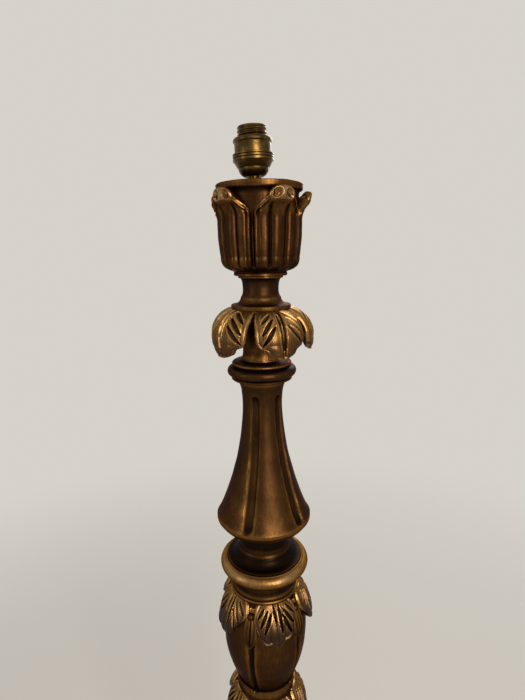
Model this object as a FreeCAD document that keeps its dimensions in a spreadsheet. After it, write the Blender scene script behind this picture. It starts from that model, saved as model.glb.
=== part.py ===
import FreeCAD, Part
import Sketcher

import math
import os
import re

# Candlestick floor lamp, turned and carved in wood with a brass bulb holder.
# Millimetres, Z up, origin on the floor under the column, front towards -Y.
# Every turned section stands on the one below it and a threaded tube ties them.

doc = FreeCAD.newDocument("CandlestickLamp")
sheet = doc.addObject("Spreadsheet::Sheet", "Sizes")

# ---------------------------------------------------------------- sizes

SIZES = [
    # Carving
    ("carving_count", 5),
    ("flute_radius", 4.6),
    ("flute_depth", 3.2),
    ("rib_radius", 1.6),
    ("rib_depth", 1.0),
    ("flute_start", 2),
    ("rib_start", 2),
    ("rib_top_lift", 2),
    ("rib_top_drop", 1.5),
    ("cut_overrun", 1),
    # Leaf outline in shares of its half width and height
    ("gap_apex_width", 0.015),
    ("gap_apex_height", 0.93),
    ("gap_slit_width", 0.09),
    ("gap_slit_height", 0.52),
    ("gap_side_width", 0.2),
    ("gap_side_height", 0.3),
    ("gap_side_swell", 0.02),
    ("gap_lobe_width", 0.52),
    ("gap_lobe_height", 0.16),
    ("gap_lobe_swell", 0.09),
    ("gap_notch_width", 0.54),
    ("gap_notch_height", 0.2),
    ("gap_tip_width", 0.99),
    ("gap_tip_height", 0.012),
    ("gap_tip_swell", 0.11),
    ("gap_below", 6),
    ("leaf_back_share", 0.9),
    ("leaf_tip_share", 0.7),
    # Threaded tube
    ("tube_radius", 5),
    ("tube_bore", 3.8),
    ("thread_gap", 0.05),
    ("tube_tail", 3),
    ("tube_lean", 2),
    ("lean_drop", 133),
    ("bend_radius", 60),
    ("tube_engagement", 9),
    # Joints between sections
    ("bore_radius", 7),
    ("wide_bore_radius", 11),
    ("neck_bore_radius", 8.5),
    ("spigot_radius", 14),
    ("spigot_length", 9),
    ("spigot_gap", 0.15),
    ("spigot_end_gap", 1),
    # Felt pads
    ("pad_radius", 19),
    ("pad_thickness", 3),
    # Bun feet
    ("foot_count", 3),
    ("foot_height", 27),
    ("foot_inset", 34),
    ("foot_sole_radius", 17),
    ("foot_round", 9.5),
    ("foot_collar_radius", 20),
    ("foot_collar_height", 4),
    # Foot screws
    ("foot_screw_radius", 4),
    ("foot_screw_in_foot", 15),
    ("foot_screw_in_base", 16),
    ("screw_gap", 0.1),
    # Base plinth
    ("plinth_height", 32),
    ("plinth_sole_radius", 146),
    ("plinth_radius", 155),
    ("plinth_edge_low", 9),
    ("plinth_edge_high", 14),
    ("plinth_edge_round", 2.4),
    ("plinth_step_radius", 151),
    ("plinth_step_height", 16.5),
    ("plinth_hollow", 2.6),
    ("plinth_top_radius", 143),
    ("plinth_lip", 2),
    ("cavity_radius", 90),
    ("cavity_depth", 20),
    ("cover_rebate_radius", 98),
    ("cover_rebate_depth", 3),
    # Cable inlet
    ("bush_flange_radius", 8),
    ("bush_flange", 2.5),
    ("bush_radius", 5.2),
    ("bush_length", 24),
    ("bush_bore", 3.6),
    ("bush_gap", 0.1),
    ("bush_recess", 4),
    ("bush_height", 11),
    ("bush_edge", 1),
    # Base weight
    ("weight_radius", 88),
    ("weight_thickness", 16),
    ("weight_hole_radius", 22),
    ("weight_edge", 2),
    ("weight_screw_circle", 60),
    ("weight_screw_radius", 2.5),
    ("weight_screw_head", 5),
    ("weight_screw_bite", 6),
    # Base cover
    ("cover_radius", 97.5),
    ("cover_thickness", 2.5),
    ("cover_screw_circle", 94.5),
    ("cover_screw_radius", 1.3),
    ("cover_screw_head", 2.8),
    ("cover_screw_cap", 1.4),
    ("cover_screw_bite", 6),
    ("cover_screw_crown", 1.96),
    ("cover_screw_round", 0.2),
    # Bottom nut
    ("washer_radius", 17),
    ("washer_thickness", 2),
    ("nut_corner_radius", 9.8),
    ("nut_height", 8),
    # Base dome
    ("dome_height", 56),
    ("dome_radius", 140),
    ("dome_edge", 4),
    ("dome_step", 2.5),
    ("dome_belly_radius", 104),
    ("dome_belly_height", 32),
    ("dome_belly_round", 6.5),
    ("dome_neck_radius", 66),
    ("dome_neck_height", 50),
    ("dome_neck_hollow", 7),
    ("dome_spigot_radius", 40),
    ("dome_spigot_length", 5),
    # Base cushion
    ("base_cushion_height", 44),
    ("base_fillet_radius", 58),
    ("base_fillet_height", 4),
    ("base_cove_radius", 53),
    ("base_cove_height", 10),
    ("base_cove_hollow", 1.6),
    ("base_torus_low_radius", 58),
    ("base_torus_low", 14),
    ("base_torus_round", 8.6),
    ("base_torus_high_radius", 57),
    ("base_torus_high", 31),
    ("base_line_radius", 53.5),
    ("base_crown_radius", 38),
    ("base_crown_height", 40),
    ("base_crown_hollow", 2.4),
    ("base_crown_neck_radius", 35),
    # Lower trumpet
    ("lower_trumpet_height", 190),
    ("lower_neck_radius", 35),
    ("lower_neck_height", 8),
    ("lower_under_radius", 49),
    ("lower_under_height", 11),
    ("lower_lip_radius", 62),
    ("lower_lip_height", 25),
    ("lower_lip_under_round", 3.6),
    ("lower_lip_round", 1.2),
    ("lower_flank_radius", 56),
    ("lower_flank_height", 38),
    ("lower_flank_hollow", 8.4),
    ("lower_waist_radius", 27.5),
    ("lower_waist_height", 148),
    ("lower_waist_hollow", 0.6),
    ("lower_top_radius", 31),
    # Lower rings
    ("lower_rings_height", 24),
    ("lower_ring_radius", 37),
    ("lower_ring_height", 3.6),
    ("lower_bead_radius", 38),
    ("lower_bead_low", 4.6),
    ("lower_bead_high", 15),
    ("lower_bead_round", 4.4),
    ("lower_step_radius", 35),
    ("lower_step_low", 16),
    ("lower_step_high", 20.5),
    ("lower_seat_radius", 31),
    # Column
    ("column_height", 513.5),
    ("column_foot_radius", 31),
    ("column_foot_bead_low", 1.5),
    ("column_foot_bead_high", 8.5),
    ("column_foot_bead_radius", 30.5),
    ("column_foot_round", 3.2),
    ("column_foot_neck", 27.5),
    ("column_foot_neck_height", 12),
    ("column_belly_radius", 40.5),
    ("column_belly_height", 418),
    ("column_shoulder_radius", 34),
    ("column_shoulder_height", 500),
    ("column_shoulder_round", 4),
    ("column_neck_hollow", 0.6),
    ("column_top_radius", 33.4),
    ("column_turn", 33),
    # Column leaves
    ("column_leaf_top_radius", 35),
    ("column_leaf_out_radius", 49),
    ("column_leaf_out_height", 467),
    ("column_leaf_flare", 3.2),
    ("column_leaf_tip_radius", 48),
    ("column_leaf_tip_height", 455),
    ("column_leaf_curl", 0.8),
    ("column_leaf_wall", 4.4),
    ("column_leaf_inside", 28),
    # Vase
    ("vase_height", 125.5),
    ("vase_fillet_radius", 34.4),
    ("vase_fillet_height", 2.6),
    ("vase_foot_radius", 32.6),
    ("vase_foot_height", 3.6),
    ("vase_belly_radius", 47.6),
    ("vase_belly_height", 64),
    ("vase_belly_round", 3.4),
    ("vase_shoulder_radius", 39),
    ("vase_shoulder_height", 112),
    ("vase_shoulder_round", 3.2),
    ("vase_lip_radius", 38.9),
    ("vase_lip_height", 2.6),
    ("vase_lip_neck", 36.5),
    ("vase_turn", 33),
    ("vase_flute_rise", 8),
    # Vase leaves
    ("vase_leaf_top_radius", 39.3),
    ("vase_leaf_out_radius", 54.1),
    ("vase_leaf_out_height", 91.5),
    ("vase_leaf_flare", 1.6),
    ("vase_leaf_tip_radius", 52.6),
    ("vase_leaf_tip_height", 80),
    ("vase_leaf_curl", 0.9),
    ("vase_leaf_wall", 4.6),
    ("vase_leaf_inside", 30),
    # Cushion ring
    ("cushion_height", 49),
    ("cushion_foot_radius", 36.5),
    ("cushion_cove_radius", 36),
    ("cushion_cove_height", 10),
    ("cushion_cove_hollow", 1.0),
    ("cushion_torus_low_radius", 42.6),
    ("cushion_torus_low", 20.6),
    ("cushion_under_round", 0.8),
    ("cushion_torus_round", 5.6),
    ("cushion_torus_high_radius", 44),
    ("cushion_torus_high", 34.4),
    ("cushion_line_radius", 42.4),
    ("cushion_line_height", 35.6),
    ("cushion_crown_hollow", 0.9),
    ("cushion_crown_radius", 29.4),
    ("cushion_crown_height", 47),
    # Trumpet
    ("trumpet_height", 192),
    ("trumpet_neck_radius", 28),
    ("trumpet_neck_height", 18),
    ("trumpet_under_radius", 34),
    ("trumpet_under_height", 21.5),
    ("trumpet_lip_radius", 51.6),
    ("trumpet_lip_height", 36.5),
    ("trumpet_lip_under_round", 2.2),
    ("trumpet_lip_round", 1.2),
    ("trumpet_flank_radius", 47.5),
    ("trumpet_flank_height", 46),
    ("trumpet_flank_hollow", 3.3),
    ("trumpet_middle_radius", 26.7),
    ("trumpet_middle_height", 111),
    ("trumpet_middle_hollow", 1.8),
    ("trumpet_waist_radius", 20.8),
    ("trumpet_waist_height", 168),
    ("trumpet_waist_hollow", 0.9),
    ("trumpet_top_radius", 26),
    ("trumpet_turn", 33),
    # Ring stack
    ("rings_height", 22),
    ("ring_radius", 31.6),
    ("ring_height", 3),
    ("bead_radius", 33),
    ("bead_low", 3.8),
    ("bead_high", 13.4),
    ("bead_round", 3.4),
    ("step_radius", 30.4),
    ("step_low", 14.6),
    ("step_high", 18.6),
    ("step_round", 0.8),
    ("rings_top_radius", 20.5),
    # Leaf collar
    ("collar_height", 51),
    ("collar_core_radius", 19.3),
    ("collar_core_foot", 20.5),
    ("collar_top_radius", 29.6),
    ("collar_turn", 42),
    ("collar_core_hollow", 0.3),
    ("collar_root_drop", 8.8),
    ("collar_root_edge", 2.64),
    ("collar_root_hollow", 2),
    ("collar_root_inset", 1),
    # Collar leaves
    ("collar_leaf_top_radius", 29.6),
    ("collar_leaf_out_radius", 51.9),
    ("collar_leaf_out_height", 22),
    ("collar_leaf_flare", 7.6),
    ("collar_leaf_tip_radius", 49.4),
    ("collar_leaf_tip_height", 8.2),
    ("collar_leaf_curl", 1.3),
    ("collar_leaf_wall", 4.4),
    ("collar_leaf_inside", 22.5),
    # Neck spool
    ("neck_height", 33),
    ("neck_flange_radius", 30.3),
    ("neck_flange_low", 0.8),
    ("neck_flange_high", 3.8),
    ("neck_flare_radius", 27.4),
    ("neck_flare_height", 4.8),
    ("neck_flare_hollow", 4.2),
    ("neck_waist_radius", 18.1),
    ("neck_waist_height", 19),
    ("neck_rise_hollow", 0.5),
    ("neck_collar_radius", 20.3),
    ("neck_collar_height", 30.5),
    ("neck_top_radius", 22.6),
    ("neck_lip_rise", 1),
    # Candle cup
    ("cup_height", 86),
    ("cup_foot_radius", 26.8),
    ("cup_foot_height", 3.4),
    ("cup_root_radius", 27.6),
    ("cup_root_height", 4.6),
    ("cup_bowl_round", 3.6),
    ("cup_side_radius", 38.6),
    ("cup_side_height", 18.5),
    ("cup_wall_round", 0.6),
    ("cup_petal_radius", 41.4),
    ("cup_petal_height", 56),
    ("cup_curl_hollow", 1.3),
    ("cup_tip_radius", 48.2),
    ("cup_tip_height", 70.5),
    ("cup_tip_round", 1.6),
    ("cup_tip_top_radius", 47.2),
    ("cup_tip_top_height", 75),
    ("cup_band_radius", 41.6),
    ("cup_band_foot", 80.4),
    ("cup_rim_radius", 42.4),
    ("cup_rim_inner", 38.5),
    ("cup_dish", 1.6),
    ("cup_core_radius", 38.2),
    ("cup_turn", 44),
    # Gaps between petals
    ("petal_gap_foot", 59),
    ("petal_gap_low", 1.2),
    ("petal_gap_half", 15.5),
    ("petal_gap_round", 2.6),
    ("petal_groove_radius", 2.2),
    ("petal_groove_circle", 41.6),
    ("panel_groove_radius", 2.4),
    ("panel_groove_circle", 42.3),
    ("panel_groove_angle", 24),
    ("groove_foot", 8),
    # Top nut
    ("top_washer_radius", 17),
    ("top_washer_thickness", 1.5),
    ("knurl_radius", 8),
    ("knurl_height", 5.2),
    ("knurl_count", 20),
    ("knurl_cut", 0.7),
    ("knurl_bevel", 0.6),
    # Bulb holder cap
    ("holder_rise", 7.4),
    ("cap_foot_radius", 9.3),
    ("dome_cap_round", 1.3),
    ("cap_side_radius", 14.8),
    ("cap_side_height", 7.6),
    ("cap_notch", 0.7),
    ("cap_notch_height", 0.4),
    ("cap_shoulder_drop", 0.5),
    ("cap_skirt_radius", 18.6),
    ("cap_wall", 1),
    ("cap_bead_foot", 13.4),
    ("cap_bead_radius", 19.5),
    ("cap_bead_top", 20.6),
    ("cap_groove", 0.6),
    ("cap_boss_radius", 8),
    ("cap_boss_height", 8.5),
    ("cap_bead_edge", 0.4),
    ("cap_groove_half", 0.5),
    ("cap_lip_edge", 0.6),
    ("cap_foot_inset", 0.5),
    ("cap_inside_round", 1.1),
    # Bulb holder barrel
    ("barrel_radius", 17.4),
    ("barrel_wall", 0.8),
    ("barrel_gap", 0.1),
    ("barrel_foot", 14.4),
    ("barrel_bead_low", 29.8),
    ("barrel_bead_high", 34.4),
    ("barrel_bead_radius", 18.1),
    ("barrel_bead_round", 0.5),
    ("barrel_mouth_gap", 0.15),
    # Screw shell
    ("shell_radius", 13.85),
    ("shell_wall", 0.5),
    ("shell_foot", 20.4),
    ("shell_top", 44.7),
    # Porcelain core
    ("core_gap", 0.15),
    ("core_foot", 12.6),
    ("core_well_radius", 9.5),
    ("core_well_floor", 16.2),
    # Centre contact
    ("contact_width", 5),
    ("contact_strip", 0.5),
    ("contact_foot_length", 4.2),
    ("contact_root", 3.6),
    ("contact_reach", 7.2),
    ("contact_rise", 3.4),
    ("contact_tip", 3),
    ("contact_gap", 0.12),
    ("contact_rivet_radius", 1.1),
    ("contact_rivet_head", 0.7),
    ("contact_knee", 0.1),
    # Terminal screws
    ("terminal_spread", 12.2),
    ("terminal_head_radius", 2.6),
    ("terminal_head", 1.6),
    ("terminal_screw_radius", 1.6),
    ("terminal_screw_bite", 3.2),
]

for row, (name, number) in enumerate(SIZES, start=1):
    sheet.set("A%d" % row, name.replace("_", " "))
    sheet.set("B%d" % row, str(number))
    sheet.setAlias("B%d" % row, name)
doc.recompute()

# ---------------------------------------------------------------- helpers

ALIASES = set(name for name, number in SIZES)


def bound(text):
    """Point every named size in an expression at the sheet."""
    def prefix(match):
        word = match.group(0)
        return "Sizes." + word if word in ALIASES else word
    return re.sub(r"[a-z_]+[a-z0-9_]*", prefix, str(text))


def value(text):
    """The present number of an expression of named sizes."""
    result = sheet.evalExpression(bound(text))
    return float(getattr(result, "Value", result))


def origin_feature(body, role):
    """A body's own plane or axis, such as XZ_Plane."""
    for feature in body.Origin.OriginFeatures:
        if feature.Role == role:
            return feature
    raise ValueError(role)


def new_sketch(body, name, plane, offset="0", turn="0"):
    """A sketch on one of the body's own planes, moved along its normal or turned about Z."""
    sketch = body.newObject("Sketcher::SketchObject", body.Name + "_" + name)
    sketch.AttachmentSupport = [(origin_feature(body, plane), "")]
    sketch.MapMode = "FlatFace"
    shift = FreeCAD.Vector(0, 0, value(offset))
    about = FreeCAD.Vector(0, 1, 0)
    sketch.AttachmentOffset = FreeCAD.Placement(shift, FreeCAD.Rotation(about, value(turn)))
    return sketch


def tie(sketch, kind, spot, text):
    """Tie one coordinate or radius of the sketch to the sheet."""
    index = sketch.addConstraint(Sketcher.Constraint(kind, *spot, value(text)))
    sketch.setExpression("Constraints[%d]" % index, bound(text))


def tie_point(sketch, geometry, end, across, up):
    """Tie one point's two coordinates to the sheet."""
    tie(sketch, "DistanceX", (-1, 1, geometry, end), across)
    tie(sketch, "DistanceY", (-1, 1, geometry, end), up)


def middle(start, end, bulge):
    """Expressions of an arc's middle point; a bulge to the right of the way is positive."""
    across = "((%s) - (%s))" % (end[0], start[0])
    up = "((%s) - (%s))" % (end[1], start[1])
    length = "sqrt(%s^2 + %s^2)" % (across, up)
    mid_across = "((%s) + (%s)) / 2 + (%s) * %s / %s" % (start[0], end[0], bulge, up, length)
    mid_up = "((%s) + (%s)) / 2 - (%s) * %s / %s" % (start[1], end[1], bulge, across, length)
    return mid_across, mid_up


def draw(sketch, points, closed=True):
    """Lines and arcs through points; a third item is the bulge of the arc that ends there."""
    count = len(points) if closed else len(points) - 1
    ends = []
    for number in range(count):
        start = points[number]
        end = points[(number + 1) % len(points)]
        start_at = FreeCAD.Vector(value(start[0]), value(start[1]), 0)
        end_at = FreeCAD.Vector(value(end[0]), value(end[1]), 0)
        if len(end) == 2:
            index = sketch.addGeometry(Part.LineSegment(start_at, end_at), False)
            ends.append((index, 1, 2))
            continue
        across, up = middle(start, end, end[2])
        mid_at = FreeCAD.Vector(value(across), value(up), 0)
        index = sketch.addGeometry(Part.Arc(start_at, mid_at, end_at), False)
        forward = sketch.getPoint(index, 1).distanceToPoint(start_at) < 1e-6
        ends.append((index, 1, 2) if forward else (index, 2, 1))
        mark = sketch.addGeometry(Part.Point(mid_at), True)
        tie_point(sketch, mark, 1, across, up)
        sketch.addConstraint(Sketcher.Constraint("PointOnObject", mark, 1, index))
    for number in range(count):
        index, first, last = ends[number]
        tie_point(sketch, index, first, points[number][0], points[number][1])
        if closed or number + 1 < count:
            after, after_first, after_last = ends[(number + 1) % count]
            sketch.addConstraint(
                Sketcher.Constraint("Coincident", index, last, after, after_first))
        else:
            tie_point(sketch, index, last, points[-1][0], points[-1][1])


def draw_circle(sketch, across, up, radius):
    """A full circle tied to the sheet by its centre and radius."""
    centre = FreeCAD.Vector(value(across), value(up), 0)
    circle = Part.Circle(centre, FreeCAD.Vector(0, 0, 1), value(radius))
    index = sketch.addGeometry(circle, False)
    tie_point(sketch, index, 3, across, up)
    tie(sketch, "Radius", (index,), radius)


def new_body(name):
    """An empty body whose label names the piece."""
    body = doc.addObject("PartDesign::Body", name)
    body.Label = name
    return body


def place(body, height, turn="0"):
    """Stand a body at a height on the axis, turned about it."""
    upward = FreeCAD.Vector(0, 0, 1)
    seat = FreeCAD.Vector(0, 0, value(height))
    body.Placement = FreeCAD.Placement(seat, FreeCAD.Rotation(upward, value(turn)))
    body.setExpression(".Placement.Base.z", bound(height))


def place_leaning(body, along):
    """Stand a body on the leaning top of the tube, so far from its bend."""
    lean = math.radians(value("tube_lean"))
    reach = value(along)
    seat = FreeCAD.Vector(-math.sin(lean) * reach, 0, value(bend_z) + math.cos(lean) * reach)
    tilt = FreeCAD.Rotation(FreeCAD.Vector(0, -1, 0), value("tube_lean"))
    body.Placement = FreeCAD.Placement(seat, tilt)


def revolve(body, points, name="outline", axis="0"):
    """Turn a closed outline of (radius, height) about Z, or about a line beside it."""
    sketch = new_sketch(body, name, "XZ_Plane")
    if axis == "0":
        draw(sketch, points)
    else:
        draw(sketch, [("(%s) + (%s)" % (axis, point[0]),) + tuple(point[1:])
                      for point in points])
        foot = FreeCAD.Vector(value(axis), 0, 0)
        line = sketch.addGeometry(Part.LineSegment(foot, foot + FreeCAD.Vector(0, 1, 0)), True)
        tie_point(sketch, line, 1, axis, "0")
        tie_point(sketch, line, 2, axis, "1")
    turned = body.newObject("PartDesign::Revolution", body.Name + "_turned_" + name)
    turned.Profile = sketch
    turned.ReferenceAxis = (sketch, ["V_Axis" if axis == "0" else "Axis0"])
    turned.Angle = 360
    doc.recompute()
    return turned


def volume(body):
    """A body's volume, nothing before its first feature."""
    return 0.0 if body.Shape.isNull() else body.Shape.Volume


def extrude(body, kind, sketch, length, backwards=False):
    """A pad or pocket of the sketch, checked to add or take material."""
    before = volume(body)
    feature = body.newObject("PartDesign::" + kind, sketch.Name + "_" + kind.lower())
    feature.Profile = sketch
    feature.Type = 0
    feature.setExpression("Length", bound(length))
    feature.Reversed = backwards
    doc.recompute()
    if abs(volume(body) - before) < 1e-6:
        raise RuntimeError(feature.Name + " changes nothing")
    return feature


def repeat(body, feature, count="carving_count"):
    """Copy a feature evenly about the body's axis."""
    pattern = body.newObject("PartDesign::PolarPattern", feature.Name + "_ring")
    pattern.Originals = [feature]
    pattern.Axis = (origin_feature(body, "Z_Axis"), [""])
    pattern.Angle = 360
    pattern.setExpression("Occurrences", bound(count))
    body.Tip = pattern
    doc.recompute()
    return pattern


def gouge(body, name, path, radius, depth, turn="0"):
    """Sweep a round gouge along a path of (radius, height) points and repeat the cut."""
    before = volume(body)
    spine = new_sketch(body, name + "_path", "XZ_Plane", turn=turn)
    draw(spine, path, closed=False)
    section = new_sketch(body, name + "_section", "XY_Plane")
    section.AttachmentOffset = FreeCAD.Placement(
        FreeCAD.Vector(0, 0, value(path[0][1])),
        FreeCAD.Rotation(FreeCAD.Vector(0, 0, 1), value(turn)))
    section.setExpression(".AttachmentOffset.Base.z", bound(path[0][1]))
    draw_circle(section, "(%s) + (%s) - (%s)" % (path[0][0], radius, depth), "0", radius)
    cut = body.newObject("PartDesign::SubtractivePipe", body.Name + "_" + name)
    cut.Profile = section
    edges = len([item for item in spine.Geometry if not isinstance(item, Part.Point)])
    cut.Spine = (spine, ["Edge%d" % (number + 1) for number in range(edges)])
    doc.recompute()
    if before - volume(body) < 1:
        raise RuntimeError(body.Name + " " + name + " cuts nothing")
    return repeat(body, cut)


socket_radius = "spigot_radius + spigot_gap"
socket_depth = "(spigot_length + spigot_end_gap)"


def section(name, outside, top, bore="bore_radius"):
    """A turned wooden section: a spigot below, its outside, and a socket above."""
    body = new_body(name)
    revolve(body, [(bore, "-spigot_length"), ("spigot_radius", "-spigot_length"),
                   ("spigot_radius", "0")] + outside +
            [(socket_radius, top), (socket_radius, "%s - %s" % (top, socket_depth)),
             (bore, "%s - %s" % (top, socket_depth))])
    return body


def leaf_wall(body, part, top):
    """Bell-shaped wall that the leaves are cut from, thin at the tips."""
    wall = part + "_leaf_wall"
    top_radius = part + "_leaf_top_radius"
    outline = [
        (part + "_leaf_tip_radius", part + "_leaf_tip_height"),
        (part + "_leaf_out_radius", part + "_leaf_out_height", part + "_leaf_curl"),
        (top_radius, top, part + "_leaf_flare"),
        ("%s - %s" % (top_radius, wall), top),
        ("%s_leaf_out_radius - %s" % (part, wall), "%s_leaf_out_height" % part,
         "-%s_leaf_flare * leaf_back_share" % part),
        ("%s_leaf_tip_radius - %s * leaf_tip_share" % (part, wall), part + "_leaf_tip_height",
         "-%s_leaf_curl" % part)]
    revolve(body, outline, "leaves")


def leaf_gaps(body, part, top):
    """Cut the lobed gaps that leave one leaf between each pair of cuts."""
    tall = "(%s - %s_leaf_tip_height)" % (top, part)
    reach = "(%s_leaf_out_radius * sin(180 / carving_count) + cut_overrun)" % part
    edge = [("gap_apex_width", "gap_apex_height"), ("gap_slit_width", "gap_slit_height"),
            ("gap_side_width", "gap_side_height", "gap_side_swell"),
            ("gap_lobe_width", "gap_lobe_height", "gap_lobe_swell"),
            ("gap_notch_width", "gap_notch_height"),
            ("gap_tip_width", "gap_tip_height", "gap_tip_swell")]
    right = []
    for item in edge:
        spot = ["%s * %s" % (item[0], reach),
                "%s_leaf_tip_height + %s * %s" % (part, item[1], tall)]
        spot += ["-%s * %s" % (item[2], reach)] if len(item) == 3 else []
        right.append(tuple(spot))
    left = [("-%s" % spot[0],) + spot[1:] for spot in right]
    outer = right[-1]
    floor = "%s_leaf_tip_height - gap_below" % part
    outline = [("-%s" % outer[0], floor), (outer[0], floor), outer[:2]]
    for number in range(len(right) - 2, -1, -1):
        swell = right[number + 1][2:]
        outline.append(right[number][:2] + swell)
    outline += left
    sketch = new_sketch(body, "gap", "YZ_Plane", offset=part + "_leaf_inside")
    draw(sketch, outline)
    cut = extrude(body, "Pocket", sketch, "%s_leaf_out_radius" % part, backwards=True)
    repeat(body, cut)


def leaf_ribs(body, part, top):
    """A gouged midrib up each leaf, between the gaps, from its tip to near its root."""
    path = [("%s_leaf_tip_radius" % part, "%s_leaf_tip_height - rib_start" % part),
            ("%s_leaf_out_radius" % part, part + "_leaf_out_height", "%s_leaf_curl" % part),
            ("%s_leaf_top_radius + rib_top_lift" % part, "%s - rib_top_drop" % top,
             "%s_leaf_flare" % part)]
    gouge(body, "midrib", path, "rib_radius", "rib_depth", turn="180 / carving_count")


def hole(body, name, plane, offset, across, up, radius, length, count="1",
         backwards=False):
    """A round hole from one of the body's planes, repeated evenly when counted."""
    sketch = new_sketch(body, name, plane, offset=offset)
    draw_circle(sketch, across, up, radius)
    cut = extrude(body, "Pocket", sketch, length, backwards)
    if value(count) > 1:
        repeat(body, cut, count)
    return cut


# ---------------------------------------------------------------- heights

foot_z = "pad_thickness"
plinth_z = "(%s + foot_height)" % foot_z
dome_z = "(%s + plinth_height)" % plinth_z
base_cushion_z = "(%s + dome_height)" % dome_z
lower_trumpet_z = "(%s + base_cushion_height)" % base_cushion_z
lower_rings_z = "(%s + lower_trumpet_height)" % lower_trumpet_z
column_z = "(%s + lower_rings_height)" % lower_rings_z
vase_z = "(%s + column_height)" % column_z
cushion_z = "(%s + vase_height)" % vase_z
trumpet_z = "(%s + cushion_height)" % cushion_z
rings_z = "(%s + trumpet_height)" % trumpet_z
collar_z = "(%s + rings_height)" % rings_z
neck_z = "(%s + collar_height)" % collar_z
cup_z = "(%s + neck_height)" % neck_z
rim_z = "(%s + cup_height)" % cup_z
bend_z = "(%s - lean_drop)" % rim_z
ceiling_z = "(%s + cavity_depth)" % plinth_z
foot_circle = "(plinth_radius - foot_inset)"
seat_along = "(lean_drop / cos(tube_lean))"

# ---------------------------------------------------------------- base

pads = new_body("floor_pads")
revolve(pads, [("0", "0"), ("pad_radius", "0"), ("pad_radius", "pad_thickness"),
               ("0", "pad_thickness")], axis=foot_circle)
repeat(pads, pads.Tip, "foot_count")
place(pads, "0", "90")

feet = new_body("bun_feet")
screw_hole = "foot_screw_radius + screw_gap"
shoulder = "(foot_height - foot_collar_height)"
hole_floor = "(foot_height - foot_screw_in_foot - screw_gap)"
revolve(feet, [("0", "0"), ("foot_sole_radius", "0"),
               ("foot_collar_radius", shoulder, "foot_round"),
               ("foot_collar_radius", "foot_height"), (screw_hole, "foot_height"),
               (screw_hole, hole_floor), ("0", hole_floor)], axis=foot_circle)
repeat(feet, feet.Tip, "foot_count")
place(feet, foot_z, "90")

foot_screws = new_body("foot_screws")
revolve(foot_screws, [("0", "-foot_screw_in_foot"), ("foot_screw_radius", "-foot_screw_in_foot"),
                      ("foot_screw_radius", "foot_screw_in_base"),
                      ("0", "foot_screw_in_base")], axis=foot_circle)
repeat(foot_screws, foot_screws.Tip, "foot_count")
place(foot_screws, plinth_z, "90")

plinth = new_body("base_plinth")
dome_socket = "dome_spigot_radius + spigot_gap"
dome_floor = "(plinth_height - dome_spigot_length - spigot_gap)"
revolve(plinth, [
    ("bore_radius", "cavity_depth"), ("cavity_radius", "cavity_depth"),
    ("cavity_radius", "cover_rebate_depth"), ("cover_rebate_radius", "cover_rebate_depth"),
    ("cover_rebate_radius", "0"), ("plinth_sole_radius", "0"),
    ("plinth_radius", "plinth_edge_low", "plinth_edge_round"),
    ("plinth_radius", "plinth_edge_high"), ("plinth_step_radius", "plinth_step_height"),
    ("plinth_top_radius", "plinth_height - plinth_lip", "-plinth_hollow"),
    ("plinth_top_radius", "plinth_height"), (dome_socket, "plinth_height"),
    (dome_socket, dome_floor), ("bore_radius", dome_floor)])
hole(plinth, "inlet", "XZ_Plane", "0", "0", "bush_height", "bush_radius + bush_gap",
     "plinth_radius + cut_overrun")
hole(plinth, "inlet_face", "XZ_Plane", "bush_recess - plinth_radius", "0", "bush_height",
     "bush_flange_radius + bush_gap", "bush_recess + cut_overrun")
hole(plinth, "foot_holes", "XY_Plane", "0", "0", foot_circle, screw_hole,
     "foot_screw_in_base + screw_gap", "foot_count", backwards=True)
hole(plinth, "weight_holes", "XY_Plane", "cavity_depth", "0", "weight_screw_circle",
     "weight_screw_radius + screw_gap", "weight_screw_bite + screw_gap", "foot_count",
     backwards=True)
hole(plinth, "cover_holes", "XY_Plane", "cover_rebate_depth", "cover_screw_circle", "0",
     "cover_screw_radius + screw_gap", "cover_screw_bite + screw_gap", "foot_count",
     backwards=True)
place(plinth, plinth_z)

weight = new_body("base_weight")
weight_edge_high = "weight_thickness - weight_edge"
revolve(weight, [
    ("weight_hole_radius", "0"), ("weight_radius - weight_edge", "0"),
    ("weight_radius", "weight_edge"), ("weight_radius", weight_edge_high),
    ("weight_radius - weight_edge", "weight_thickness"),
    ("weight_hole_radius", "weight_thickness")])
hole(weight, "screw_holes", "XY_Plane", "0", "0", "weight_screw_circle",
     "weight_screw_radius + screw_gap", "weight_thickness", "foot_count", backwards=True)
hole(weight, "screw_seats", "XY_Plane", "0", "0", "weight_screw_circle",
     "weight_screw_head + screw_gap", "weight_screw_radius", "foot_count", backwards=True)
place(weight, "%s - weight_thickness" % ceiling_z)

weight_screws = new_body("weight_screws")
weight_screw_top = "weight_thickness + weight_screw_bite"
revolve(weight_screws, [
    ("0", "0"), ("weight_screw_head", "0"), ("weight_screw_head", "weight_screw_radius - screw_gap"),
    ("weight_screw_radius", "weight_screw_radius - screw_gap"),
    ("weight_screw_radius", weight_screw_top), ("0", weight_screw_top)],
    axis="weight_screw_circle")
repeat(weight_screws, weight_screws.Tip, "foot_count")
place(weight_screws, "%s - weight_thickness" % ceiling_z, "90")

cover = new_body("base_cover")
revolve(cover, [("0", "0"), ("cover_radius", "0"), ("cover_radius", "cover_thickness"),
                ("0", "cover_thickness")])
hole(cover, "screw_holes", "XY_Plane", "0", "cover_screw_circle", "0",
     "cover_screw_radius + screw_gap", "cover_thickness", "foot_count", backwards=True)
place(cover, "%s + cover_rebate_depth - cover_thickness" % plinth_z)

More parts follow.
